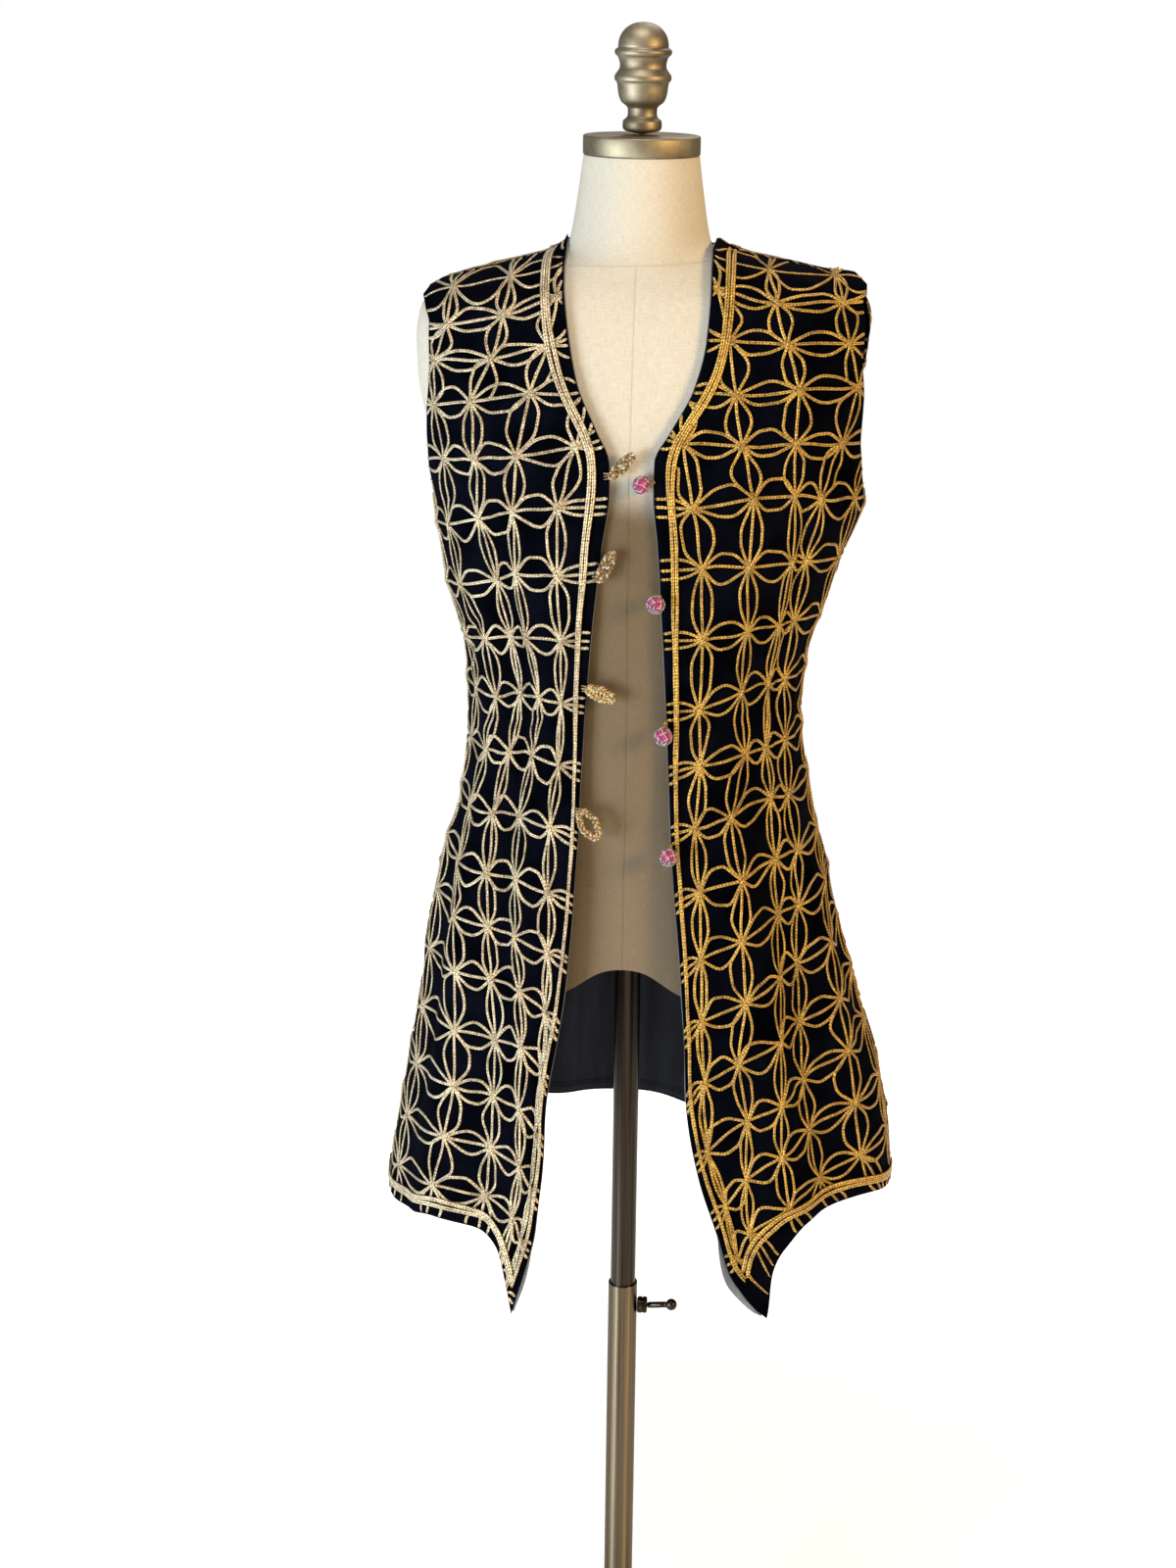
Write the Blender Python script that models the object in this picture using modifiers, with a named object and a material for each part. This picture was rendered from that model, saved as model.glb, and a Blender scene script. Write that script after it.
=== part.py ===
"""Embroidered folk vest, open down the front, on a dress form with a telescopic stand.

Metres, +Z up, the front towards -Y. The wearer's right is -X. The origin is the
centre of the base's underside. The cloth follows level rings: the dress form's own
rings, plus the ease that the vest stands off it, plus the folds.
"""

import math

import bmesh
import bpy
import numpy as np
from mathutils import Matrix, Vector

# ---- driving dimensions, in metres ----
SEAM_GAP = 0.0003  # air between two pieces that are sewn or screwed together
VELVET = 0.0013  # wall of the velvet panels
LINING = 0.0010  # wall of the lining
SEAM_REACH = 0.0040  # a border nearer to the plane of the seams than this is a seam
SHOULDER_LIFT = 0.0029  # height of the velvet's face over the form along the shoulders

NECK_POINT = 1.4935  # height of the shoulder seams at the neck
BACK_NECK = 1.4790  # height of the back neckline at the centre
SHOULDER_TIP = {"right": 1.4460, "left": 1.4585}
UNDERARM = {"right": 1.2490, "left": 1.2580}
LINING_TOP = 0.8800  # the lining shows below this height only

BAND_INSET = 0.0115  # from a finished edge to the near side of the braid band
BAND_WIDTH = 0.0090
BAND_THICK = 0.0016
FRONT_COLUMNS = 14  # columns of a front beyond its band
PANEL_ROWS = 26  # rows of a panel beyond its hem band
ROW_CROWDING = 1.4  # above 1 the rows crowd towards the shoulders, where the cloth bends most
BACK_COLUMNS = 26  # columns of the back from side seam to side seam
NECK_SHARE = 0.36  # part of the back's upper border that is neckline

NECK_BAND_GAP = 0.0018  # the neck's hollow curve needs more air under its band
NECK_BAND_END = 0.930  # it stops this share of the way to the shoulder seam
NECK_STEPS = 9  # steps of that band from the back centre to a shoulder seam

LOOP_POINTS = 16
LOOP_INSET = 0.0020  # how far on to the velvet a loop's root lies
LOOP_LENGTH = 0.0280
LOOP_WIDTH = 0.0100
LOOP_CORD = 0.0038  # thickness of the braided cord
LOOP_STANDOFF = 0.0025  # from the velvet's face to the middle of that cord
BUTTON_RADIUS = 0.0085
SHANK_RADIUS = 0.0022

FORM_SIDES = 32
FORM_TOP = 1.5650
FORM_ARCH = 0.0900  # how far the form's lower edge drops from front centre to side
FORM_EDGE = 0.8430  # height of that edge at the front centre
FORM_BOARD = 0.8300  # height of the flat of the underside
FORM_FLAT_RADIUS = 0.0300
FORM_SKIRT_SHARES = (0.25, 0.5, 0.75, 1.0)  # rings between the lowest level ring and the edge
FORM_UNDERSIDE_SHARES = (0.12, 0.55, 1.0)  # rings between the edge and the flat

CAP_RADIUS = 0.0520
CAP_HEIGHT = 0.0170
CAP_RIM = 0.0012  # chamfer of the cap's edges

MAST_RADIUS = 0.0122
MAST_FOOT = 0.2300  # lower end of the mast, inside the tube
TUBE_RADIUS = 0.0142
TUBE_BORE = 0.0126
TUBE_TOP = 0.4680
BASE_RADIUS = 0.1600
BASE_EDGE = 0.0100
BASE_HEIGHT = 0.0180
BOSS_RADIUS = 0.0260
BOSS_HEIGHT = 0.0480
BOSS_CHAMFER = 0.0040
BOSS_TAPER = 0.0030  # how much wider the boss is at its foot
BOSS_FILLET = 0.0210  # how far its foot spreads on to the plate
BASE_CHAMFER = 0.0030  # of the plate's upper edge
BASE_SLOPE = 0.0080  # breadth of the sloping rim above that edge
BASE_FOOT_CHAMFER = 0.0015
POCKET_FLOOR = 0.0060
TUBE_PLUG = 0.0030  # thickness of the plug that closes the tube's foot

CLAMP_HEIGHT = 0.4430  # height of the clamp screw's axis, which runs along +X
CLAMP_HUB_RADIUS = 0.0080
CLAMP_HUB_LENGTH = 0.0100
CLAMP_REACH = 0.0340  # from the hub to the middle of the ball
CLAMP_RISE = 0.0080
CLAMP_FORWARD = 0.0120
CLAMP_BALL = 0.0056
CLAMP_BAR_RADIUS = 0.0026
CLAMP_HUB_CHAMFER = 0.0012

# The dress form: level rings from the neck down.
FORM_COLUMNS = ("height", "half_width", "front", "back", "square")
FORM_ROWS = (
    (1.5650, 0.0508, 0.0508, 0.0508, 2.00),
    (1.5300, 0.0535, 0.0530, 0.0530, 2.00),
    (1.5020, 0.0585, 0.0575, 0.0580, 2.00),
    (1.4890, 0.0622, 0.0605, 0.0620, 2.05),
    (1.4800, 0.0700, 0.0655, 0.0690, 2.10),
    (1.4710, 0.0960, 0.0710, 0.0775, 2.15),
    (1.4625, 0.1250, 0.0765, 0.0850, 2.20),
    (1.4540, 0.1560, 0.0825, 0.0915, 2.30),
    (1.4430, 0.1830, 0.0880, 0.0970, 2.40),
    (1.4280, 0.1955, 0.0950, 0.1020, 2.45),
    (1.4050, 0.1990, 0.1030, 0.1060, 2.45),
    (1.3700, 0.1975, 0.1130, 0.1100, 2.40),
    (1.3200, 0.1880, 0.1240, 0.1090, 2.35),
    (1.2600, 0.1740, 0.1300, 0.1050, 2.30),
    (1.1800, 0.1560, 0.1190, 0.0970, 2.25),
    (1.1100, 0.1390, 0.1070, 0.0900, 2.25),
    (1.0400, 0.1330, 0.1010, 0.0880, 2.25),
    (0.9800, 0.1380, 0.1040, 0.0950, 2.30),
    (0.9000, 0.1540, 0.1120, 0.1090, 2.30),
    (0.8200, 0.1640, 0.1170, 0.1180, 2.30),
    (0.7500, 0.1640, 0.1170, 0.1190, 2.30),
)

# How far the vest stands off the form, at each side seam and at front and back centre.
EASE_COLUMNS = ("height", "right", "left", "front", "back")
EASE_ROWS = (
    (1.5000, 0.0036, 0.0040, 0.0030, 0.0040),
    (1.4900, 0.0024, 0.0080, 0.0030, 0.0042),
    (1.4800, 0.0018, 0.0205, 0.0036, 0.0048),
    (1.4700, 0.0020, 0.0370, 0.0042, 0.0056),
    (1.4585, 0.0036, 0.0440, 0.0048, 0.0064),
    (1.4400, 0.0056, 0.0205, 0.0055, 0.0066),
    (1.4200, 0.0058, 0.0200, 0.0062, 0.0068),
    (1.3700, 0.0055, 0.0210, 0.0065, 0.0065),
    (1.3200, 0.0105, 0.0235, 0.0065, 0.0065),
    (1.2600, 0.0115, 0.0335, 0.0060, 0.0065),
    (1.2150, 0.0140, 0.0260, 0.0060, 0.0070),
    (1.1800, 0.0160, 0.0230, 0.0080, 0.0070),
    (1.1200, 0.0150, 0.0200, 0.0100, 0.0070),
    (1.0400, 0.0190, 0.0240, 0.0110, 0.0070),
    (0.9800, 0.0190, 0.0290, 0.0160, 0.0090),
    (0.9200, 0.0230, 0.0310, 0.0200, 0.0110),
    (0.8600, 0.0255, 0.0350, 0.0240, 0.0150),
    (0.7900, 0.0315, 0.0530, 0.0290, 0.0210),
    (0.7100, 0.0440, 0.0770, 0.0370, 0.0280),
    (0.6300, 0.0570, 0.0900, 0.0450, 0.0340),
    (0.5500, 0.0670, 0.0930, 0.0500, 0.0390),
)

# Distance of each front's edge from the centre plane: the V neckline, then the opening.
EDGE_COLUMNS = ("height", "right", "left")
EDGE_ROWS = (
    (1.4935, 0.0656, 0.0664),
    (1.4560, 0.0622, 0.0660),
    (1.4160, 0.0562, 0.0635),
    (1.3770, 0.0470, 0.0540),
    (1.3400, 0.0300, 0.0345),
    (1.3150, 0.0186, 0.0215),
    (1.2880, 0.0176, 0.0215),
    (1.2400, 0.0235, 0.0257),
    (1.1700, 0.0310, 0.0302),
    (1.1000, 0.0365, 0.0343),
    (1.0200, 0.0405, 0.0385),
    (0.9400, 0.0432, 0.0440),
    (0.8600, 0.0480, 0.0522),
    (0.7900, 0.0558, 0.0578),
    (0.7250, 0.0662, 0.0615),
    (0.6600, 0.0688, 0.0740),
    (0.6000, 0.0750, 0.0945),
    (0.5650, 0.0830, 0.1080),
    (0.5330, 0.0925, 0.1400),
    (0.5100, 0.0985, 0.1500),
)

# The armholes: how far their edges lie before and behind the side seams.
ARMHOLE_COLUMNS = ("rise", "front", "back")  # rise: 0 at the underarm, 1 at the tip
ARMHOLE_ROWS = (
    (0.00, 0.0000, 0.0000),
    (0.05, 0.0300, 0.0270),
    (0.18, 0.0470, 0.0420),
    (0.42, 0.0610, 0.0530),
    (0.66, 0.0660, 0.0570),
    (0.86, 0.0600, 0.0540),
    (0.95, 0.0430, 0.0400),
    (1.00, 0.0000, 0.0000),
)

# Height of the hem from the front edge (0) to the side seam (1), and across the back.
HEM_COLUMNS = ("share", "right", "left", "back")
HEM_ROWS = (
    (0.00, 0.5200, 0.5330, 0.6010),
    (0.10, 0.5740, 0.5950, 0.6010),
    (0.22, 0.5880, 0.6110, 0.6005),
    (0.38, 0.5880, 0.6150, 0.6000),
    (0.55, 0.5810, 0.6120, 0.5980),
    (0.80, 0.5730, 0.6020, 0.5920),
    (1.00, 0.5740, 0.5990, 0.5860),
)

# Folds: angle from the front centre at bust, waist and hem, half breadth in degrees,
# and depth at bust, waist and hem. A negative depth is a trough.
FOLD_COLUMNS = ("bust", "waist", "hem", "breadth", "at_bust", "at_waist", "at_hem")
FOLD_ROWS = {
    "right": (
        (47.0, 46.0, 41.0, 6.5, -0.0010, -0.0050, -0.0080),
        (60.0, 60.0, 55.0, 8.0, 0.0005, 0.0030, 0.0070),
        (74.0, 73.0, 70.0, 7.0, -0.0010, -0.0030, -0.0050),
        (112.0, 112.0, 110.0, 9.0, 0.0000, -0.0020, -0.0090),
        (133.0, 134.0, 131.0, 9.0, 0.0000, 0.0010, 0.0080),
        (154.0, 155.0, 152.0, 9.0, 0.0000, -0.0030, -0.0090),
    ),
    "left": (
        (40.0, 38.0, 50.0, 7.0, 0.0000, 0.0020, 0.0050),
        (52.0, 52.0, 62.0, 6.5, -0.0015, -0.0055, -0.0100),
        (66.0, 66.0, 75.0, 7.5, 0.0005, 0.0030, 0.0060),
        (110.0, 110.0, 108.0, 9.0, 0.0000, -0.0020, -0.0080),
        (131.0, 132.0, 130.0, 9.0, 0.0000, 0.0010, 0.0090),
        (151.0, 152.0, 150.0, 9.0, 0.0000, -0.0030, -0.0100),
    ),
}
BUST_HEIGHT = 1.250
WAIST_HEIGHT = 1.040
HEM_HEIGHT = 0.580
FOLD_TOP = 1.360  # no fold reaches above this height

# Loops on the right front: height of the root and pitch in degrees up from level.
LOOP_COLUMNS = ("height", "pitch")
LOOP_ROWS = ((1.2985, 46.0), (1.2100, 62.0), (1.1050, -12.0), (0.9890, -50.0))

# Buttons on the left front: height of the root, then how far the ball's centre lies
# across into the opening, forward and down from it, and the length of its shank.
BUTTON_COLUMNS = ("height", "across", "forward", "drop", "shank")
BUTTON_ROWS = (
    (1.2980, 0.0128, 0.0020, 0.0030, 0.0120),
    (1.1960, 0.0045, 0.0095, 0.0090, 0.0117),
    (1.0790, 0.0037, 0.0098, 0.0140, 0.0138),
    (0.9660, 0.0020, 0.0114, 0.0145, 0.0142),
)

# The finial's turned outline, from the top: radius, and height above its foot.
FINIAL_COLUMNS = ("radius", "rise")
FINIAL_ROWS = (
    (0.0000, 0.0974),
    (0.0085, 0.0961),
    (0.0160, 0.0915),
    (0.0206, 0.0850),
    (0.0222, 0.0780),
    (0.0222, 0.0755),
    (0.0249, 0.0732),
    (0.0249, 0.0700),
    (0.0222, 0.0668),
    (0.0206, 0.0620),
    (0.0208, 0.0575),
    (0.0230, 0.0540),
    (0.0249, 0.0512),
    (0.0249, 0.0476),
    (0.0228, 0.0444),
    (0.0214, 0.0350),
    (0.0190, 0.0288),
    (0.0150, 0.0254),
    (0.0131, 0.0228),
    (0.0131, 0.0166),
    (0.0150, 0.0140),
    (0.0171, 0.0118),
    (0.0171, 0.0056),
    (0.0150, 0.0034),
    (0.0150, 0.0000),
    (0.0000, 0.0000),
)

SIGN = {"right": -1.0, "left": 1.0}
COLLECTION = "Folk vest on dress form"
FORM_HEIGHTS = (
    [row[0] for row in FORM_ROWS[:14]]
    + [1.2200, 1.1800, 1.1450, 1.1100, 1.0750, 1.0400, 1.0100, 0.9800, 0.9400, 0.9000]
)


def column(names, rows, name):
    """One column of a table as an array."""
    return np.array([row[names.index(name)] for row in rows])


def smooth(names, rows, name, at):
    """Value of a column at a place between the rows, on a curve without overshoot."""
    places = column(names, rows, names[0])
    values = column(names, rows, name)
    if places[0] > places[-1]:
        places, values = places[::-1], values[::-1]
    at = min(max(at, places[0]), places[-1])
    spans = np.diff(places)
    rises = np.diff(values) / spans
    slopes = np.zeros(len(values))
    same = rises[:-1] * rises[1:] > 0
    slopes[1:-1][same] = 2 * rises[:-1][same] * rises[1:][same] / (rises[:-1] + rises[1:])[same]
    slopes[0], slopes[-1] = rises[0], rises[-1]
    i = min(int(np.searchsorted(places, at, side="right")) - 1, len(spans) - 1)
    t = (at - places[i]) / spans[i]
    start = values[i] * (1 + 2 * t) + slopes[i] * spans[i] * t
    end = values[i + 1] * (3 - 2 * t) - slopes[i + 1] * spans[i] * (1 - t)
    return float(start * (1 - t) ** 2 + end * t**2)


# ---- the form's and the vest's rings ----
def form_ring(height):
    """(half width, front depth, back depth, squareness) of the dress form."""
    return tuple(smooth(FORM_COLUMNS, FORM_ROWS, name, height) for name in FORM_COLUMNS[1:])


def vest_ring(side, height):
    """The same four values for the velvet's face on one side."""
    half_width, front, back, square = form_ring(height - SHOULDER_LIFT)
    ease = {name: smooth(EASE_COLUMNS, EASE_ROWS, name, height) for name in EASE_COLUMNS[1:]}
    return half_width + ease[side], front + ease["front"], back + ease["back"], square


def ring_radius(ring, angle):
    """Distance from the axis at an angle from the front centre."""
    half_width, front, back, square = ring
    depth = front if math.cos(angle) > 0 else back
    across = abs(math.sin(angle)) / half_width
    along = abs(math.cos(angle)) / depth
    return (across**square + along**square) ** (-1.0 / square)


def fold_depth(side, angle, height):
    """Sum of the folds at a point of the cloth."""
    total = 0.0
    down = np.clip((FOLD_TOP - height) / (FOLD_TOP - BUST_HEIGHT), 0.0, 1.0)
    places = (HEM_HEIGHT, WAIST_HEIGHT, BUST_HEIGHT)
    for row in FOLD_ROWS[side]:
        fold = dict(zip(FOLD_COLUMNS, row))
        centre = np.interp(height, places, (fold["hem"], fold["waist"], fold["bust"]))
        depth = np.interp(height, places, (fold["at_hem"], fold["at_waist"], fold["at_bust"]))
        off = (math.degrees(angle) - centre) / fold["breadth"]
        total += down * depth * math.exp(-off * off)
    return total


def vest_point(side, angle, height):
    """A point on the velvet's face; angle 0 is the front centre, pi the back centre."""
    radius = ring_radius(vest_ring(side, height), angle) + fold_depth(side, angle, height)
    return Vector((SIGN[side] * radius * math.sin(angle), -radius * math.cos(angle), height))


def angle_at_x(side, x, height):
    """Angle at which the front of the vest is at a distance x from the centre plane."""
    half_width, front, _, square = vest_ring(side, height)
    share = min(x / half_width, 1.0)
    return math.atan2(x, front * (1.0 - share**square) ** (1.0 / square))


def angle_at_depth(side, depth, height, behind):
    """Angle at which the cloth lies a depth before, or behind, the side seam."""
    half_width, front, back, square = vest_ring(side, height)
    share = depth / (back if behind else front)
    x = half_width * (1.0 - share**square) ** (1.0 / square)
    return math.atan2(x, -depth if behind else depth)


# ---- the borders of the panels, as (angle, height) at a share of their length ----
def front_edge(side, share):
    """Front edge and neckline, from the hem to the shoulder seam."""
    foot = smooth(HEM_COLUMNS, HEM_ROWS, side, 0.0)
    height = foot + share * (NECK_POINT - foot)
    if share == 1.0:
        return math.pi / 2, height
    return angle_at_x(side, smooth(EDGE_COLUMNS, EDGE_ROWS, side, height), height), height


def side_edge(side, share, behind):
    """Side seam and armhole, from the hem to the shoulder tip."""
    foot = smooth(HEM_COLUMNS, HEM_ROWS, "back" if behind else side, 1.0)
    height = foot + share * (SHOULDER_TIP[side] - foot)
    if height <= UNDERARM[side]:
        return math.pi / 2, height
    rise = (height - UNDERARM[side]) / (SHOULDER_TIP[side] - UNDERARM[side])
    depth = smooth(ARMHOLE_COLUMNS, ARMHOLE_ROWS, "back" if behind else "front", rise)
    return angle_at_depth(side, depth, height, behind), height


def coons(left, right, bottom, top, s, t):
    """Point between four borders, each a pair (angle, height)."""
    corners = [
        (1 - s) * (1 - t) * np.array(bottom(0.0)) + s * (1 - t) * np.array(bottom(1.0)),
        (1 - s) * t * np.array(top(0.0)) + s * t * np.array(top(1.0)),
    ]
    between = (1 - s) * np.array(left(t)) + s * np.array(right(t))
    along = (1 - t) * np.array(bottom(s)) + t * np.array(top(s))
    return between + along - corners[0] - corners[1]


def panel_surface(side, behind):
    """Function of (s, t) giving a point of a half panel: s from the centre to the side."""
    hem_name = "back" if behind else side

    def hem(s):
        first = math.pi if behind else front_edge(side, 0.0)[0]
        return first + s * (math.pi / 2 - first), smooth(HEM_COLUMNS, HEM_ROWS, hem_name, s)

    def centre(t):
        if not behind:
            return front_edge(side, t)
        foot = HEM_ROWS[0][HEM_COLUMNS.index("back")]
        return math.pi, foot + t * (BACK_NECK - foot)

    def shoulder(s):
        if not behind:
            return math.pi / 2, NECK_POINT + s * (SHOULDER_TIP[side] - NECK_POINT)
        if s < NECK_SHARE:
            turn = s / NECK_SHARE
            return math.pi * (1 - turn / 2), BACK_NECK + turn**2 * (NECK_POINT - BACK_NECK)
        share = (s - NECK_SHARE) / (1 - NECK_SHARE)
        return math.pi / 2, NECK_POINT + share * (SHOULDER_TIP[side] - NECK_POINT)

    def point(s, t):
        angle, height = coons(centre, lambda u: side_edge(side, u, behind), hem, shoulder, s, t)
        return vest_point(side, angle, height)

    return point


def shares_at(lengths, wanted):
    """Where along a polyline, as a share of its points, the wanted lengths fall."""
    run = np.concatenate([[0.0], np.cumsum(lengths)])
    return np.interp(wanted, run, np.linspace(0.0, 1.0, len(run)))


def lengths_between(points):
    return [(b - a).length for a, b in zip(points, points[1:])]


def panel_grid(side, behind, columns, rows):
    """Rows of points of a half panel; its first lines border the braid bands."""
    point = panel_surface(side, behind)
    fine = [i / 60 for i in range(61)]
    edge = lengths_between([point(0.0, t) for t in fine])
    first = [0.0, BAND_INSET, BAND_INSET + BAND_WIDTH]
    climb = 1.0 - (1.0 - np.linspace(0.0, 1.0, rows + 1)[1:]) ** ROW_CROWDING
    beyond = first[-1] + climb * (sum(edge) - first[-1])
    grid = []
    for t in shares_at(edge, first + list(beyond)):
        row = lengths_between([point(s, t) for s in fine])
        start = [0.0] if behind else first
        wanted = start + list(np.linspace(start[-1], sum(row), columns + 1)[1:])
        grid.append([point(s, t) for s in shares_at(row, wanted)])
    return grid


def back_grid():
    """Rows of points of the whole back, from the right side seam to the left one."""
    right = panel_grid("right", True, BACK_COLUMNS // 2, PANEL_ROWS)
    left = panel_grid("left", True, BACK_COLUMNS // 2, PANEL_ROWS)
    return [r[::-1] + l[1:] for r, l in zip(right, left)]


def normals_of(grid):
    """Outward unit normal at each point of a grid whose rows run from -X to +X in front."""
    rows, columns = len(grid), len(grid[0])
    normals = []
    for j in range(rows):
        line = []
        for i in range(columns):
            along = grid[j][min(i + 1, columns - 1)] - grid[j][max(i - 1, 0)]
            up = grid[min(j + 1, rows - 1)][i] - grid[max(j - 1, 0)][i]
            normal = along.cross(up).normalized()
            outward = Vector((grid[j][i].x, grid[j][i].y, 0.0))
            line.append(normal if normal.dot(outward) > 0 else -normal)
        normals.append(line)
    return normals


def moved(grid, distance):
    """The grid moved out along its normals; a negative distance moves it in."""
    normals = normals_of(grid)
    return [
        [p + n * distance for p, n in zip(row, line)] for row, line in zip(grid, normals)
    ]


def set_back(grid, wall):
    """The grid with the points on a seam, where y is 0, drawn in along the cloth.

    Both walls of a seam then end half a gap from it, also where the cloth bends there.
    """
    normals = normals_of(grid)
    last, end = len(grid) - 1, len(grid[0]) - 1
    result = [list(row) for row in grid]

    def draw_in(j, i, to_j, to_i):
        way = (grid[to_j][to_i] - grid[j][i]).normalized()
        need = SEAM_GAP / 2 + wall * abs(normals[j][i].y) + abs(grid[j][i].y)
        result[j][i] = grid[j][i] + way * min(need / max(abs(way.y), 0.2), SEAM_REACH)

    top = [i for i in range(end + 1) if abs(grid[last][i].y) < SEAM_REACH]
    shoulder_seam = len(top) > 2
    for i in top if shoulder_seam else []:
        draw_in(last, i, last - 1, i)
    for j in range(last if shoulder_seam else last + 1):
        for i, beside in ((0, 1), (end, end - 1)):
            if abs(grid[j][i].y) < SEAM_REACH:
                draw_in(j, i, j, beside)
    return result


# ---- objects ----
def clear_scene():
    for obj in list(bpy.data.objects):
        bpy.data.objects.remove(obj, do_unlink=True)


def finish_material(name, colour, roughness, metallic=0.0):
    material = bpy.data.materials.new(name)
    material.use_nodes = True
    shader = material.node_tree.nodes["Principled BSDF"]
    shader.inputs["Base Color"].default_value = (*colour, 1.0)
    shader.inputs["Roughness"].default_value = roughness
    shader.inputs["Metallic"].default_value = metallic
    return material


def place(name, data, material, matrix=None):
    """A new object in the vest's collection."""
    obj = bpy.data.objects.new(name, data)
    bpy.data.collections[COLLECTION].objects.link(obj)
    data.materials.append(material)
    if matrix is not None:
        obj.matrix_world = matrix
    return obj


def mesh_from(vertices, faces, name):
    mesh = bpy.data.meshes.new(name)
    mesh.from_pydata([tuple(v) for v in vertices], [], faces)
    mesh.update()
    return mesh


def sheet(name, grid, thickness, material):
    """A wall of cloth: the grid is its outer face, and Solidify gives its thickness."""
    rows, columns = len(grid), len(grid[0])
    faces = [
        (j * columns + i, j * columns + i + 1, (j + 1) * columns + i + 1, (j + 1) * columns + i)
        for j in range(rows - 1)
        for i in range(columns - 1)
    ]
    mesh = mesh_from([p for row in grid for p in row], faces, name)
    middle = mesh.polygons[len(mesh.polygons) // 2]
    if middle.normal.dot(Vector((middle.center.x, middle.center.y, 0.0))) < 0:
        mesh.flip_normals()
    mesh.shade_smooth()
    obj = place(name, mesh, material)
    wall = obj.modifiers.new("wall", "SOLIDIFY")
    wall.thickness = thickness
    wall.offset = -1.0


def turned(name, profile, sides, material, matrix=None):
    """A turned piece: the profile is (radius, height) down its outer side.

    A profile that ends where it starts is a closed outline, as of a tube.
    """
    outline = bmesh.new()
    closed = profile[0] == profile[-1]
    points = [outline.verts.new((radius, 0.0, height)) for radius, height in profile[:-1]]
    points.append(points[0] if closed else outline.verts.new((profile[-1][0], 0.0, profile[-1][1])))
    for a, b in zip(points, points[1:]):
        outline.edges.new((a, b))
    mesh = bpy.data.meshes.new(name)
    outline.to_mesh(mesh)
    outline.free()
    obj = place(name, mesh, material, matrix)
    screw = obj.modifiers.new("turn", "SCREW")
    screw.steps = sides
    screw.render_steps = sides
    screw.use_merge_vertices = True
    screw.merge_threshold = 0.00001
    screw.use_smooth_shade = True


def smooth_route(route, count):
    """Points at even shares of a curve that runs through the route's points."""
    points = [Vector(p) for p in route]
    padded = [points[0] * 2 - points[1]] + points + [points[-1] * 2 - points[-2]]
    result = []
    for k in range(count + 1):
        place_on = k / count * (len(points) - 1)
        i = min(int(place_on), len(points) - 2)
        t = place_on - i
        a, b, c, d = padded[i : i + 4]
        result.append(
            0.5 * (2 * b + (c - a) * t + (2 * a - 5 * b + 4 * c - d) * t**2 + (3 * b - a - 3 * c + d) * t**3)
        )
    return result


def rod(name, points, radius, material, closed=False, resolution=1):
    """A round rod or cord along a line of points."""
    curve = bpy.data.curves.new(name, "CURVE")
    curve.dimensions = "3D"
    curve.bevel_depth = radius
    curve.bevel_resolution = resolution
    curve.use_fill_caps = not closed
    spline = curve.splines.new("POLY")
    spline.points.add(len(points) - 1)
    for target, point in zip(spline.points, points):
        target.co = (*point, 1.0)
    spline.use_cyclic_u = closed
    place(name, curve, material)


# ---- the vest ----
def build_front(side, velvet, lining, braid):
    grid = panel_grid(side, False, FRONT_COLUMNS, PANEL_ROWS)
    sheet(f"{side}_front", set_back(grid, VELVET), VELVET, velvet)
    low = [row for row in grid if row[0].z < LINING_TOP]
    inner = moved(low, -VELVET - SEAM_GAP)
    sheet(f"{side}_front_lining", set_back(inner, LINING), LINING, lining)
    outer = set_back(moved(grid, SEAM_GAP + BAND_THICK), BAND_THICK)
    sheet(f"{side}_front_band", [row[1:3] for row in outer[2:]], BAND_THICK, braid)
    sheet(f"{side}_hem_band", [row[3:] for row in outer[1:3]], BAND_THICK, braid)


def build_back(velvet, lining, braid):
    grid = back_grid()
    sheet("back", set_back(grid, VELVET), VELVET, velvet)
    low = [row for row in grid if row[len(row) // 2].z < LINING_TOP]
    inner = moved(low, -VELVET - SEAM_GAP)
    sheet("back_lining", set_back(inner, LINING), LINING, lining)
    outer = moved(grid, SEAM_GAP + BAND_THICK)
    sheet("back_hem_band", set_back(outer[1:3], BAND_THICK), BAND_THICK, braid)


def point_below(side, angle, height, distance):
    """The point of the cloth that lies a distance below another at the same angle."""
    heights = np.linspace(height, height - distance, 25)
    points = [vest_point(side, angle, h) for h in heights]
    run = np.concatenate([[0.0], np.cumsum(lengths_between(points))])
    return vest_point(side, angle, float(np.interp(distance, run, heights)))


def build_neck_band(braid):
    """The band round the back of the neck, from shoulder seam to shoulder seam."""
    lines = []
    for distance in (BAND_INSET + BAND_WIDTH, BAND_INSET):
        line = []
        for k in range(-NECK_STEPS, NECK_STEPS + 1):
            side = "left" if k > 0 else "right"
            share = min(abs(k) / NECK_STEPS, NECK_BAND_END)
            height = BACK_NECK + share**2 * (NECK_POINT - BACK_NECK)
            line.append(point_below(side, math.pi * (1 - share / 2), height, distance))
        lines.append(line)
    sheet("back_neck_band", moved(lines, NECK_BAND_GAP + BAND_THICK), BAND_THICK, braid)


def edge_point(side, height):
    """The point of a front's edge at a height."""
    x = smooth(EDGE_COLUMNS, EDGE_ROWS, side, height)
    return vest_point(side, angle_at_x(side, x, height), height)


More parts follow.
